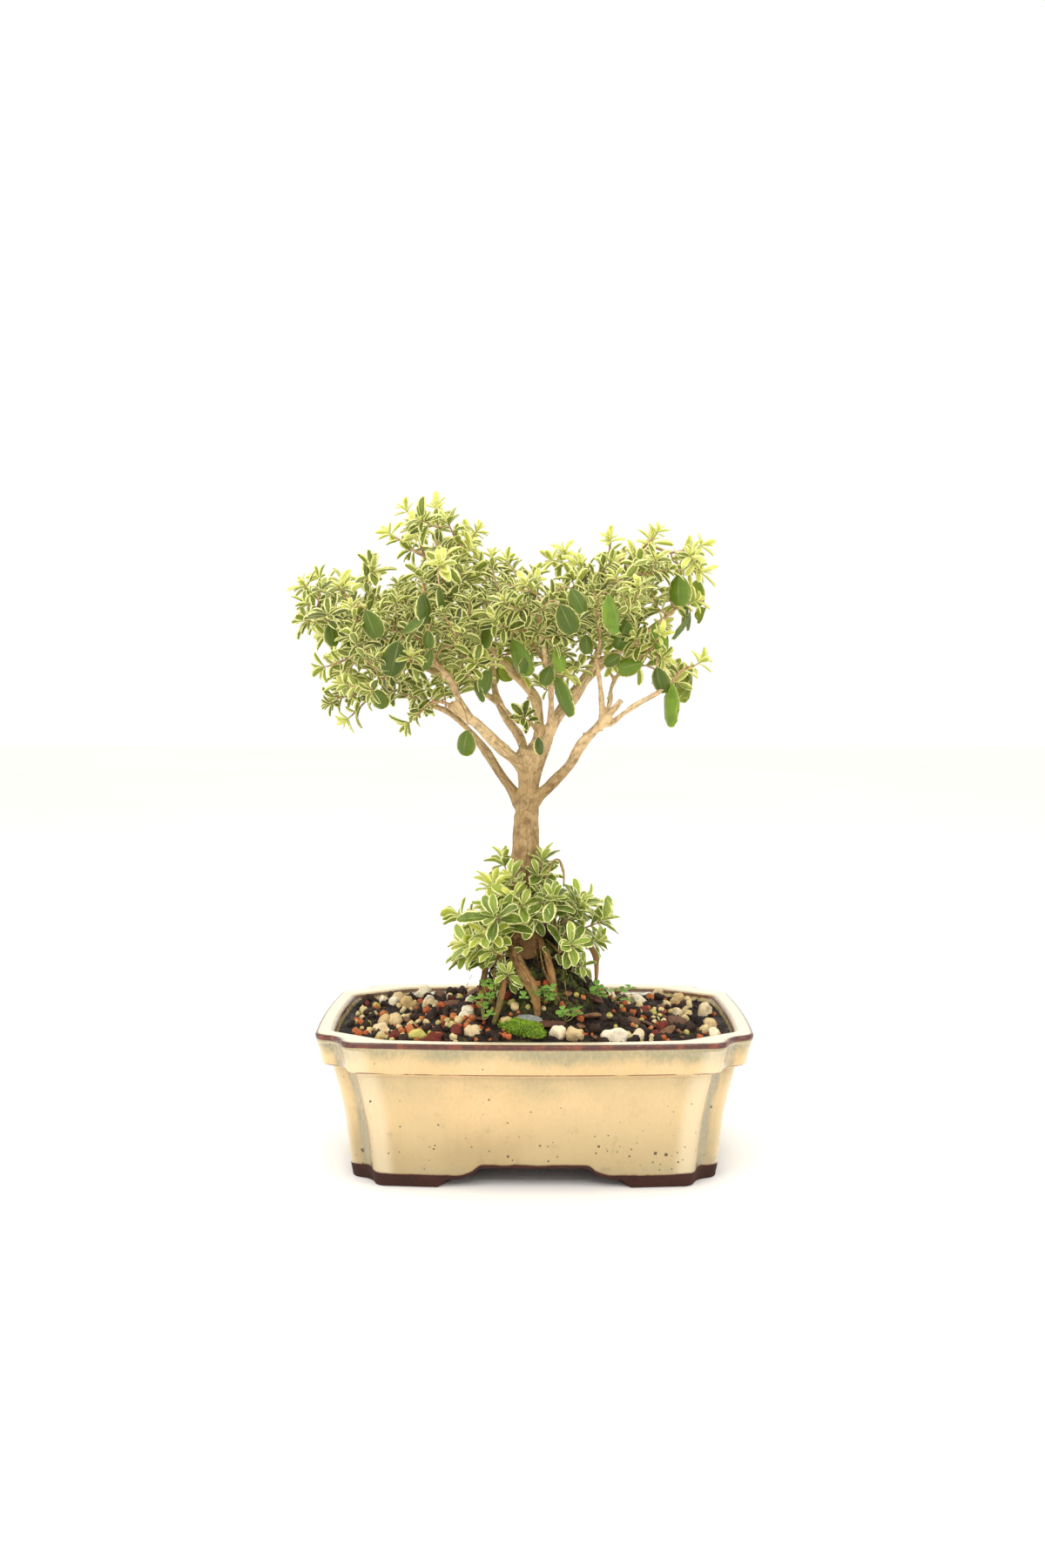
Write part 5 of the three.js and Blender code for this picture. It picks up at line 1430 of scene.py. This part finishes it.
def wood_tubes(rng):
    """Every limb and root as (line, radius along it, sides, steps)."""
    tubes = []

    def add(knots, sides, radius, fewest=4):
        line = Line(knots)
        tubes.append((line, radius, sides, max(fewest, int(line.length / 1.5))))

    for name, (knots, start, end) in LIMBS.items():
        add(knots, 14 if start > 3 else 10, limb_radius(name, start, end, rng), 8)
    for knots, start, end in ROOTS:
        wobble = rng.uniform(0, 6)
        add(knots, 12, lambda t, a=start, b=end, w=wobble: (
            0.88 * (a + (b - a) * t) * (1 + 0.2 * sin(9 * t + w))
        ))
    for knots in THIN_ROOTS:
        thick = rng.choice((0.5, 0.65, 0.8, 1.1))
        add(knots, 8, lambda t, a=thick: a * (1 - 0.35 * t) * (1 + 0.14 * sin(12 * t + a * 9)))
    for _ in range(STUBS):
        name = rng.choice([n for n in LIMBS if n not in ("trunk", "dry_twig")])
        point, direction = Line(LIMBS[name][0]).at(rng.uniform(0.25, 0.9))
        arm = turned(sideways(direction), direction, rng.uniform(0, 6.28))
        heading = (direction * rng.uniform(0.3, 0.9) + arm).normalized()
        length = rng.uniform(2.5, 6.5)
        stub = Line([point, point + heading * length * 0.5, point + heading * length])
        tubes.append((stub, lambda t: 1.05 - 0.3 * t, 7, 5))
    return tubes


def build_wood(look):
    """Trunk, limbs and roots grown together, with bark relief."""
    rng = random.Random(12)
    points, faces, spine = [], [], []
    for line, radius, sides, steps in wood_tubes(rng):
        more, rings, axes = tube(line, radius, sides, steps)
        faces.extend(tuple(i + len(points) for i in face) for face in rings)
        points.extend(more)
        start = rng.uniform(0, 400)
        for centre, side, other, along in axes:
            spine.append((centre, side, other, along + start, radius(along / max(line.length, 1))))
    carrier = helper("wood_tubes", new_mesh("wood_tubes", points, faces))
    melt = carrier.modifiers.new("Melt", "REMESH")
    melt.mode = "VOXEL"
    melt.voxel_size = look.voxel
    graph = bpy.context.evaluated_depsgraph_get()
    mesh = bpy.data.meshes.new_from_object(carrier.evaluated_get(graph))
    drop(carrier)
    shell = bmesh.new()
    shell.from_mesh(mesh)
    every_way = {"use_axis_x": True, "use_axis_y": True, "use_axis_z": True}
    for _ in range(2):
        bmesh.ops.smooth_vert(shell, verts=shell.verts, factor=0.5, **every_way)
    shell.normal_update()
    tree = KDTree(len(spine))
    for i, (centre, *_) in enumerate(spine):
        tree.insert(centre, i)
    tree.balance()
    grain, hollow = [], []
    for vert in shell.verts:
        point = (vert.co - MIDDLE) / MM
        nearest = min(tree.find_n(point, 3), key=lambda hit: hit[2] - spine[hit[1]][4])
        centre, side, other, along, radius = spine[nearest[1]]
        arm = point - centre
        local = Vector((arm.dot(side), arm.dot(other), along + arm.dot(side.cross(other))))
        grain.append(tuple(local))
        flow = Vector((local.x, local.y, local.z * 0.28))
        broad = noise.noise(flow / 3.4)
        plates = noise.noise(flow / 1.7 + Vector((9, 0, 0)))
        ridge = 1 - abs(noise.noise(flow / 2.3 + Vector((0, 5, 0))) * 1.6)
        crack = max(0.0, (ridge - 0.8) / 0.2)
        ring = exp(-((local.z * 0.16 + 0.2 * broad) % 1 * 8 - 1) ** 2)
        depth = min(0.62, 0.05 + 0.095 * radius)
        relief = 0.9 * broad + 0.5 * plates - 0.4 * crack + 0.2 * ring
        vert.co += vert.normal * depth * relief * MM
        # Hollow marks the cracks and the dips in the relief. The finish darkens the dips as painted shade
        hollow.append(clamp(0.75 * crack - 0.7 * broad * (radius > 2.5), 0.0, 1.0))
    # Where one limb's grain meets another's, the bark's finish fades its pattern
    meeting = [0.0] * len(grain)
    for edge in shell.edges:
        a, b = (v.index for v in edge.verts)
        if (Vector(grain[a]) - Vector(grain[b])).length > GRAIN_JUMP:
            for vert in edge.verts:
                for near in vert.link_edges:
                    meeting[near.other_vert(vert).index] = 1.0
    shell.to_mesh(mesh)
    shell.free()
    for key, values in (("grain", grain), ("hollow", hollow), ("meeting", meeting)):
        add_layer(mesh, key, values)
    mesh.shade_smooth()
    show("wood_and_roots", mesh, "bark", ["tree_wood"], bark_finish(look))


# Leaves


# Where the points of a leaf's ring lie, from one edge to the other
FINE_ROWS = (-1, -0.62, 0, 0.62, 1)
PLAIN_ROWS = (-1, 0, 1)
STALK = 0.3

# Each pair of leaves in a star: how far it leans out and its size
STAR = ((1.3, 1.0), (1.0, 1.05), (0.66, 0.9), (0.38, 0.7), (0.15, 0.45))
GOAL_TRIES = 36000
FREE_LEAVES = 30


def leaf_shape(
    name, length, width, fold, bend, wave, twist, stations,
    rows=PLAIN_ROWS, blunt=0.62, thick=0.3, skew=1.22,
):
    """A closed leaf blade from its stalk at the origin along +y, its upper side facing +z."""
    points, edge, along, under = [], [], [], []

    def add(t, u, half, lower, margin, below):
        x = t * half
        z = fold * abs(t) * half - bend * length * u * u + wave * sin(u * 15 + 2 * t) * abs(t) * u
        c, s = cos(twist * u), sin(twist * u)
        points.append(Vector((x * c - z * s * 0.3, u * length, z + x * s - lower)) * MM)
        edge.append(float(margin))
        along.append(float(u))
        under.append(below)

    add(0, 0, 0, 0, 0.55, 0.3)
    for u in stations:
        half = STALK
        if u > 0.09:
            opened = max(0.0, (u - 0.09) / 0.91) ** skew
            half += (width / 2 - STALK) * sin(pi * opened) ** blunt
        for t in rows:
            add(t, u, half, 0, abs(t), 0.5 if abs(t) == 1 else 0.0)
        for t in rows[1:-1]:
            add(t, u, half, thick * (1 - 0.5 * t * t), abs(t), 1.0)
    add(0, 1, 0, 0.1, 1.0, 0.3)
    last = len(points) - 1
    around = 2 * len(rows) - 2
    loop = [*range(len(rows)), *reversed(range(len(rows), around))]
    rings = [[1 + around * s + k for k in loop] for s in range(len(stations))]
    pairs = [(k, (k + 1) % around) for k in range(around)]
    faces = [(0, rings[0][k], rings[0][j]) for j, k in pairs]
    for ring, after in zip(rings, rings[1:]):
        faces.extend((ring[j], ring[k], after[k], after[j]) for j, k in pairs)
    faces.extend((last, rings[-1][j], rings[-1][k]) for j, k in pairs)
    layers = {"edge": edge, "along": along, "under": under}
    mesh = plain_mesh(name, points, faces, layers)
    outward(mesh)
    return helper(name, mesh)


def leaf_axes(direction, spin, spread, lift=0.35, droop=0.0):
    """Axes of a leaf that leaves a twig at a spread angle: across, along and up."""
    side = turned(sideways(direction), direction, spin)
    along = direction * cos(spread) + side * sin(spread)
    along.z -= droop
    along.normalize()
    up = direction - along * direction.dot(along)
    up.z += lift
    up = (up - along * up.dot(along)).normalized()
    return along.cross(up), along, up


def put_pair(growth, rng, point, direction, spin, size, shade, wide=0.2, spread=1.0,
             wobble=0.2, lift=0.4, kinds=(0, 1, 2), least=0.85):
    """Two leaves that face each other. shade gives a leaf's tint from its axes."""
    for half in (0, pi):
        angle = spin + half + rng.gauss(0, wobble)
        axes = leaf_axes(direction, angle, spread + rng.gauss(0, wide), lift)
        tint = clamp(shade(axes))
        growth.put(point, axes, size * rng.uniform(least, 1.2), rng.choice(kinds), tint)


def put_star(growth, rng, tip, direction, size, tint, layers=4):
    """A star of leaves: close pairs, each a quarter turn on, smaller and steeper inwards."""
    spin = rng.uniform(0, 6.28)
    for k, (spread, scale) in enumerate(STAR[:layers]):
        base = tip - direction * (1.5 - 0.4 * k)
        put_pair(growth, rng, base, direction, spin + k * pi / 2, size * scale,
                 lambda axes: tint + 0.1 * k + rng.gauss(0, 0.12),
                 0.16, spread, 0.22, 0.3, (0, 0, 1, 2), 0.8)


def leafy_twig(growth, rng, start, heading, length, thick, size, tint, layers=4):
    """A twig with pairs of leaves up to the star of leaves at its tip."""
    steps = max(2, round(length / 2.4))
    line = [Vector(start)]
    heading = heading.normalized()
    for _ in range(steps):
        heading = (heading + jitter(rng, 0.1) + UP * 0.05).normalized()
        line.append(line[-1] + heading * length / steps)
    growth.twig(line, thick, 0.32, min(1, tint * 0.9))
    pairs = int(length / 4.2)
    spin = rng.uniform(0, 6.28)
    for k in range(pairs):
        t = (k + 0.8) / (pairs + 0.5) * steps
        i = min(int(t), steps - 1)
        point = line[i].lerp(line[i + 1], t - i)
        direction = (line[i + 1] - line[i]).normalized()
        put_pair(growth, rng, point, direction, spin + k * pi / 2, size,
                 lambda axes: tint - 0.12 + rng.gauss(0, 0.09))
    put_star(growth, rng, line[-1], heading, size, tint, layers)


def crown_depth(x, z):
    """How far inside the crown's outline a place lies, below 0 outside it."""
    inside, nearest = False, 1e9
    for (ax, az), (bx, bz) in zip(CROWN, CROWN[1:] + CROWN[:1]):
        dx, dz = bx - ax, bz - az
        if (az > z) != (bz > z) and x < dx * (z - az) / dz + ax:
            inside = not inside
        t = clamp(((x - ax) * dx + (z - az) * dz) / max(dx**2 + dz**2, 1e-9))
        nearest = min(nearest, hypot(x - ax - t * dx, z - az - t * dz))
    return nearest if inside else -nearest


def canopy_age_and_shade(point, rng):
    """How pale a leaf is, from 0 to 1: darker deep in the crown, low under it and in broad patches, paler
    high up and at its outside. This is partly leaf age and partly painted shade and painted light.
    """
    inside = max(0.0, crown_depth(point.x, point.z))
    high = max(0, point.z - 262) / 60
    low = max(0, 232 - point.z) / 60
    patch = 0.8 * noise.noise(point / 17)
    shade = 0.6 - 0.032 * inside + 0.4 * high + 0.003 * abs(point.y) - low + patch
    return clamp(shade + rng.gauss(0, 0.16))


def crown_reach(x, z):
    """How far the crown's foliage reaches to the front and the back at a place."""
    share = min(1, max(0, crown_depth(x, z)) / 26)
    return share, 8 + 49 * share * share * (3 - 2 * share)


def big_leaf_place(x, z):
    """Where a large leaf hangs in front of the foliage. The table gives the places as they
    are seen in a plane in front of the trunk."""
    eye = Vector(EYE)
    seen = Vector((x, -SEEN_PLANE, z))
    near = clamp(crown_reach(x, z)[1] + 5, 30, 61)
    return eye + (seen - eye) * (-eye.y - near) / (-eye.y - SEEN_PLANE)


def twig_goals(rng, tips):
    """Places spread through the crown, closer together inside it than at its outline."""
    leaves = [big_leaf_place(x, z) for x, z, *_ in BIG_LEAVES]
    goals = list(tips)
    for _ in range(GOAL_TRIES):
        x, z = rng.uniform(-118, 90), rng.uniform(208, 320)
        if crown_depth(x, z) < 2.5:
            continue
        share, deep = crown_reach(x, z)
        goal = Vector((x, rng.uniform(-1, 1) * deep * (1.1 if x < -30 else 1.0), z))
        apart = [goal - leaf for leaf in leaves]
        if any(abs(gap.x) < 6 and abs(gap.z) < 7 and gap.y < 20 for gap in apart):
            continue
        if any(abs(x - a) < 4 and abs(z - b) < 9 and goal.y < 8 for a, b in BARE_PLACES):
            continue
        low_left = clamp((-30 - x) / 40) * clamp((250 - z) / 30)
        room = 16.4 - 5.0 * min(1, share * 1.3) + 4.2 * low_left
        if all((goal - other).length > room for other in goals):
            goals.append(goal)
    return goals[len(tips) :]


def grow_canopy():
    """All the canopy's sprays, as one growth for each of them."""
    rng = random.Random(41)
    growths = [Growth() for _ in SPRAYS]
    lines = {name: Line(spec[0]) for name, spec in LIMBS.items()}
    skeleton = []
    for index, (limb, t, tip) in enumerate(SPRAYS):
        start = lines[limb].at(min(t, 0.985))[0]
        reach = Vector(tip) - start
        end = start + reach.normalized() * max(6.0, reach.length - 7)
        middle = start.lerp(end, 0.5) + jitter(rng, 0.06 * reach.length)
        line = Line([start, middle + UP * (0.05 * reach.length), end])
        steps = max(4, int(line.length / 3))
        points = line.split(steps)
        growths[index].twig(points, 0.85, 0.5, 0.1)
        skeleton.extend((point, index) for point in points[steps // 4 :])
        size, tint = (1.25, 0.05) if limb == "centre" else (0.95, canopy_age_and_shade(end, rng) + 0.15)
        leafy_twig(growths[index], rng, end, line.at(1)[1], 4, 0.45, size, tint)
        dress_line(growths[index], rng, line, 0.45)
    stems = list(skeleton)
    for name, line in lines.items():
        if name in ("trunk", "dry_twig"):
            continue
        for k in range(int(line.length / 4) + 1):
            point = line.at(k * 4 / line.length)[0]
            if point.z > 200:
                owner = min(stems, key=lambda stem: (stem[0] - point).length)[1]
                skeleton.append((point, owner))
    goals = twig_goals(rng, [Vector(tip) for _, _, tip in SPRAYS])
    root = Vector((0, 0, 195))
    goals.sort(key=lambda goal: min((goal - point).length for point, _ in skeleton))
    for goal in goals:
        far = (goal - root).length

        def cost(node):
            climb = (node[0] - root).length - far
            return (goal - node[0]).length + 1.2 * max(0, climb + 2) + 0.5 * max(0, node[0].z - goal.z)

        near, owner = min(skeleton, key=cost)
        reach = goal - near
        if reach.length < 4:
            near = near - reach.normalized() * 3
            reach = goal - near
        tint = canopy_age_and_shade(goal, rng)
        bow = UP * (0.12 * reach.length) + jitter(rng, 0.05 * reach.length)
        line = Line([near, near.lerp(goal, 0.5) - bow, goal])
        points = line.split(max(2, round(reach.length / 3)))
        growths[owner].twig(points, 0.55 if reach.length > 14 else 0.45, 0.32, 0.3 + 0.4 * tint)
        skeleton.extend((point, owner) for point in points[1:-1:2])
        size = rng.uniform(0.74, 1.24)
        dress_line(growths[owner], rng, line, max(0.15, 1 - 14 / line.length), size)
        heading = (line.at(1)[1] + UP * 0.35 + jitter(rng, 0.15)).normalized()
        put_star(growths[owner], rng, goal, heading, size, tint, rng.choice((3, 4, 5)))
    return growths


def dress_line(growth, rng, line, from_share, size=1.0):
    """Pairs of leaves along a stem, each pair a quarter turn on from the last."""
    count = int(line.length * (1 - from_share) / 3.4)
    spin = rng.uniform(0, 6.28)
    for k in range(count):
        point, direction = line.at(from_share + (1 - from_share) * (k + 0.35) / count)
        put_pair(growth, rng, point, direction, spin + k * pi / 2, size,
                 lambda axes: canopy_age_and_shade(point + axes[1] * 6, rng) - 0.1, 0.22)


def add_big_leaves(growths):
    """Large plain leaves, each hung by a stalk from the nearest twig."""
    rng = random.Random(9)
    leaves = [
        (big_leaf_place(x, z), length * 1.06, width * 1.06, lean, tint, False)
        for x, z, length, width, lean, tint in BIG_LEAVES
    ]
    for _ in range(FREE_LEAVES):
        angle = rng.uniform(-0.2, pi + 0.2)
        place = Vector((92 * cos(angle), 48 * sin(angle), rng.uniform(224, 278)))
        length, width = rng.uniform(11, 15), rng.uniform(7, 10)
        leaves.append((place, length, width, rng.gauss(0, 35), rng.uniform(0.1, 0.8), True))
    stems = [
        (growth, point)
        for growth in growths
        for point, kind in zip(growth.points, growth.kind)
        if kind == -1
    ]
    tree = KDTree(len(stems))
    for n, (_, point) in enumerate(stems):
        tree.insert(point, n)
    tree.balance()
    for centre, length, width, lean, tint, behind in leaves:
        if behind:
            out = Vector((centre.x * 0.5, centre.y, 0)).normalized()
        else:
            out = Vector((0.1 * rng.gauss(0, 1), -1, 0))
        swing = radians(lean)
        along = Vector((-out.y, out.x, 0)) * sin(swing) - UP * cos(swing)
        along = (along + out * rng.uniform(-0.1, 0.35)).normalized()
        up = turned(out + UP * 0.35, UP, rng.choice((-1, 1)) * rng.uniform(0.1, 0.85))
        up = (up - along * up.dot(along)).normalized()
        base = centre - along * length / 2
        point, n, distance = tree.find(base + out * -6)
        if distance > 34:
            continue
        growth = stems[n][0]
        if (base - point).length > 7 and behind:
            base = point + (base - point) * 7 / (base - point).length
        bend = base - along * 2 + (base - point) * 0.1
        stalk = Line([point, point.lerp(bend, 0.6) + UP, base + along * 0.6])
        growth.twig(stalk.split(4), 0.42, 0.3, 0.5)
        kind = 3 if width / length > 0.56 else 4
        growth.put(base, (along.cross(up), along, up), length / 14, kind, tint)


def dress(look, title, slot, growths, names, kinds, size=1.0):
    """Runs one tree on each growth and shows the result in place of its solid. kinds holds
    the finish and the form of each kind of leaf."""
    plan = repeat_plan(title, list(kinds), True)
    values = {"Size": size, "Size Spread": look.spread, "Seed": look.seed}
    values.update({"Twig Sides": 6, "Twig Finish": twig_finish()})
    shapes = []
    for kind, (finish, *form) in kinds.items():
        shapes.append(leaf_shape(kind, *form))
        values[kind + " Shape"] = shapes[-1]
        values[kind + " Finish"] = finish
    for name, growth in zip(names, growths):
        mesh = plan.run(growth.carrier(name), values)
        mesh.shade_smooth()
        show(name + "_leaves", mesh, slot, [name])
    drop(*shapes)


def build_canopy(look):
    growths = grow_canopy()
    add_big_leaves(growths)
    rest = (0.1, 0.3, 0.52, 0.74, 0.92)
    fine = (0.07, 0.14, 0.26, 0.4, 0.54, 0.68, 0.82, 0.93, 0.98)
    tones = (look.dark, look.green, look.young)
    small = leaf_finish("small_leaf", tones, look.margin, 0.63, 0.3)
    tones = (look.plain, "4b6012", "2f3c08")
    plain = leaf_finish("plain_leaf", tones, look.margin, 0.94, 0.12, 0.02, 0.03)
    kinds = {
        "Flat Leaf": (small, 7.9, 3.5, 0.35, 0.14, 0.0, 0.1, rest),
        "Curled Leaf": (small, 7.5, 3.7, 0.5, 0.34, 0.15, -0.3, rest),
        "Narrow Leaf": (small, 8.3, 3.0, 0.5, 0.18, 0.1, 0.35, rest),
        "Broad Leaf": (plain, 14.2, 10.4, -0.55, 0.32, 0.4, 0.15, fine, FINE_ROWS, 0.46, 0.36, 1.1),
        "Long Leaf": (plain, 14.4, 8.4, -0.55, 0.44, 0.5, -0.4, fine, FINE_ROWS, 0.5, 0.36, 1.15),
    }
    names = [f"spray_{i + 1:02d}" for i in range(len(SPRAYS))]
    dress(look, "Leafy Spray", "canopy_leaf", growths, names, kinds, look.size)


def build_foot_shoots(look):
    """Shoots with longer, white-edged leaves round the foot of the trunk."""
    growths = []
    for index, (start, tip) in enumerate(SHOOTS):
        rng = random.Random(500 + index)
        growths.append(Growth())
        reach = Vector(tip) - Vector(start)
        paler = 0.3 * (tip[0] < -20)
        for branch, (share, thick) in enumerate(((0.78, 0.75), (0.55, 0.6))):
            heading = reach.normalized()
            heading += jitter(rng, 0.45) + UP * 0.25 if branch else jitter(rng, 0.05)
            tint = rng.uniform(0.0, 0.45) + paler
            size = 0.95 - 0.1 * branch
            length = reach.length * share
            leafy_twig(growths[-1], rng, start, heading, length, thick, size, tint, 4 - branch)
    rng = random.Random(77)
    for *tip, size in SPRIGS:
        tip = Vector(tip)
        nearest = min(range(len(SHOOTS)), key=lambda i: (Vector(SHOOTS[i][1]) - tip).length)
        start = Vector((0.42 * tip.x - 2, 0.42 * tip.y, tip.z - 9))
        reach = tip - start
        heading = reach.normalized() + jitter(rng, 0.12)
        tint = rng.choice((0.0, 0.1, 0.25, 0.45)) + 0.3 * (tip.x < -24)
        layers = rng.choice((3, 4, 5))
        leafy_twig(growths[nearest], rng, start, heading, reach.length - 4, 0.6, size, tint, layers)
    tones = (look.foot, "8ba03c", "dcdc5c")
    leaf = leaf_finish("foot_leaf", tones, look.foot_margin, 0.73, 0.35, 0.12, 0.16)
    fine = (0.08, 0.22, 0.4, 0.58, 0.76, 0.9, 0.97)
    kinds = {
        "Foot Leaf": (leaf, 12, 5.8, 0.32, 0.14, 0.3, 0.15, fine, FINE_ROWS, 0.62, 0.3, 1.5),
        "Waved Leaf": (leaf, 11.5, 6.2, 0.45, 0.28, 0.5, -0.3, fine, FINE_ROWS, 0.62, 0.3, 1.5),
        "Slim Leaf": (leaf, 12, 4.8, 0.4, 0.2, 0.3, 0.3, fine, FINE_ROWS, 0.66, 0.3, 1.4),
    }
    names = [f"shoot_{i + 1:02d}" for i in range(len(SHOOTS))]
    dress(look, "Foot Shoot", "shoot_leaf", growths, names, kinds)


def build_clovers(look):
    """Small clover plants between the roots, three leaflets on each stalk."""
    growth = Growth()
    rng = random.Random(31)
    for start, tip in CLOVERS:
        start, tip = Vector(start), Vector(tip)
        for _ in range(4):
            top = tip + Vector((rng.gauss(0, 3.0), rng.gauss(0, 2.6), rng.uniform(-6, 1)))
            stalk = Line([start, start.lerp(top, 0.6) + jitter(rng, 1.0), top])
            growth.twig(stalk.split(5), 0.24, 0.18, 0.9)
            direction = (Vector((0, -0.35, 1)) + jitter(rng, 0.2)).normalized()
            spin = rng.uniform(0, 6.28)
            for k in range(3):
                axes = leaf_axes(direction, spin + k * 2.094, 1.35, 0.6)
                growth.put(top, axes, rng.uniform(0.85, 1.15), 0, rng.uniform(0.2, 0.8))
    tones = (look.clover, "6c9a3a", "8fb84c")
    green = leaf_finish("clover_leaflet", tones, "a9c874", 0.95, 0.3, 0.1, 0.0)
    form = (3.3, 3.1, 0.25, 0.12, 0.0, 0.0, (0.12, 0.35, 0.6, 0.82, 0.95), FINE_ROWS, 0.7, 0.25)
    dress(look, "Clover", "clover_leaf", [growth], ["clover_01"], {"Leaflet": (green, *form)})


# Stage


def aim(thing, target):
    thing.rotation_euler = (Vector(target) - thing.location).to_track_quat("-Z", "Y").to_euler()


def add_light(name, place, target, size, power, tone):
    lamp = bpy.data.lights.new(name, "AREA")
    lamp.shape = "RECTANGLE"
    lamp.size, lamp.size_y = size
    lamp.energy = power
    lamp.color = colour(tone)
    thing = add_object(name, lamp)
    thing.location = MIDDLE + Vector(place)
    aim(thing, MIDDLE + Vector(target))


def build_stage(look):
    """A white floor, soft lights and the camera."""
    corners = [MIDDLE + Vector((x, y, 0)) for x, y in ((-6, -6), (6, -6), (6, 6), (-6, 6))]
    mesh = plain_mesh("floor", corners, [(0, 1, 2, 3)])
    mesh.materials.append(floor_finish(look))
    add_object("floor", mesh)
    world = bpy.data.worlds.new("room")
    world.use_nodes = True
    sky = world.node_tree.nodes["Background"]
    sky.inputs["Color"].default_value = (*colour("fffefc"), 1)
    sky.inputs["Strength"].default_value = look.sky
    bpy.context.scene.world = world
    add_light("key", (-0.55, -0.75, 0.95), (0, 0, 0.15), (0.5, 0.5), look.key, "fff8ee")
    add_light("side", (0.8, -0.5, 0.6), (0, 0, 0.12), (0.35, 0.7), look.fill, "fffaf2")
    add_light("left_strip", (-0.9, -0.15, 0.4), (0, 0, 0.1), (0.25, 0.7), look.fill * 0.6, "ffffff")
    add_light("top", (0, 0.1, 1.1), (0, 0, 0.2), (0.8, 0.8), look.key * 0.9, "ffffff")
    add_light("glint", (0.1, -0.8, 0.62), (0, 0, 0.07), (0.45, 0.03), look.fill * 0.6, "ffffff")
    camera = bpy.data.cameras.new("camera")
    camera.sensor_fit = "VERTICAL"
    camera.sensor_height = SENSOR
    camera.lens = SENSOR * FOCAL_PIXELS / PICTURE_PIXELS
    camera.clip_start, camera.clip_end = 0.01, 50
    eye = add_object("camera", camera)
    eye.location = to_frame(EYE)
    flat = cos(PITCH)
    ahead = Vector((-sin(YAW) * flat, cos(YAW) * flat, -sin(PITCH)))
    aim(eye, eye.location + ahead)
    bpy.context.scene.camera = eye
    bpy.context.scene.view_settings.view_transform = "Standard"


# Operators and panel


class BonsaiPot(bpy.types.Operator):
    """Build the glazed pot"""

    bl_idname = "bonsai.pot"
    bl_label = "Pot"

    def execute(self, context):
        build_pot(context.scene.bonsai_pot)
        return {"FINISHED"}


class BonsaiScreens(bpy.types.Operator):
    """Weave the screens over the drain holes"""

    bl_idname = "bonsai.screens"
    bl_label = "Drain screens"

    def execute(self, context):
        build_screens()
        return {"FINISHED"}


class BonsaiSoil(bpy.types.Operator):
    """Fill the pot with soil and scatter the grit over it"""

    bl_idname = "bonsai.soil"
    bl_label = "Soil and grit"

    def execute(self, context):
        build_soil(context.scene.bonsai_ground)
        build_grit(context.scene.bonsai_ground)
        return {"FINISHED"}


class BonsaiStones(bpy.types.Operator):
    """Lay the larger stones, the chips and the moss"""

    bl_idname = "bonsai.stones"
    bl_label = "Stones and moss"

    def execute(self, context):
        build_stones(context.scene.bonsai_ground)
        build_moss(context.scene.bonsai_ground)
        return {"FINISHED"}


class BonsaiWood(bpy.types.Operator):
    """Grow the trunk, its limbs and its roots"""

    bl_idname = "bonsai.wood"
    bl_label = "Trunk and roots"

    def execute(self, context):
        build_wood(context.scene.bonsai_tree)
        return {"FINISHED"}


class BonsaiCanopy(bpy.types.Operator):
    """Grow the canopy's leafy sprays"""

    bl_idname = "bonsai.canopy"
    bl_label = "Canopy"

    def execute(self, context):
        build_canopy(context.scene.bonsai_leaf)
        return {"FINISHED"}


class BonsaiFoot(bpy.types.Operator):
    """Grow the shoots and the clover at the foot of the tree"""

    bl_idname = "bonsai.foot"
    bl_label = "Foot shoots and clover"

    def execute(self, context):
        build_foot_shoots(context.scene.bonsai_leaf)
        build_clovers(context.scene.bonsai_leaf)
        return {"FINISHED"}


class BonsaiStage(bpy.types.Operator):
    """Set up the floor, the lights and the camera"""

    bl_idname = "bonsai.stage"
    bl_label = "Stage"

    def execute(self, context):
        build_stage(context.scene.bonsai_stage)
        return {"FINISHED"}


OPERATORS = (
    BonsaiPot, BonsaiScreens, BonsaiSoil, BonsaiStones, BonsaiWood, BonsaiCanopy, BonsaiFoot, BonsaiStage,
)


class BonsaiPanel(bpy.types.Panel):
    """Lists the bonsai's pieces"""

    bl_idname = "VIEW3D_PT_bonsai"
    bl_label = "Serissa Bonsai"
    bl_space_type = "VIEW_3D"
    bl_region_type = "UI"
    bl_category = "Bonsai"

    def draw(self, context):
        for operator in OPERATORS:
            self.layout.operator(operator.bl_idname)


LOOKS = {
    "bonsai_pot": BonsaiPotLook,
    "bonsai_ground": BonsaiGroundLook,
    "bonsai_tree": BonsaiTreeLook,
    "bonsai_leaf": BonsaiLeafLook,
    "bonsai_stage": BonsaiStageLook,
}


def register():
    for kind in (*LOOKS.values(), *OPERATORS, BonsaiPanel):
        bpy.utils.register_class(kind)
    for name, kind in LOOKS.items():
        setattr(bpy.types.Scene, name, PointerProperty(type=kind))


def unregister():
    for name in LOOKS:
        delattr(bpy.types.Scene, name)
    for kind in reversed((*LOOKS.values(), *OPERATORS, BonsaiPanel)):
        bpy.utils.unregister_class(kind)


def main():
    register()
    bpy.ops.bonsai.pot()
    bpy.ops.bonsai.screens()
    bpy.ops.bonsai.soil()
    bpy.ops.bonsai.stones()
    bpy.ops.bonsai.wood()
    bpy.ops.bonsai.canopy()
    bpy.ops.bonsai.foot()
    bpy.ops.bonsai.stage()


if __name__ == "__main__":
    main()
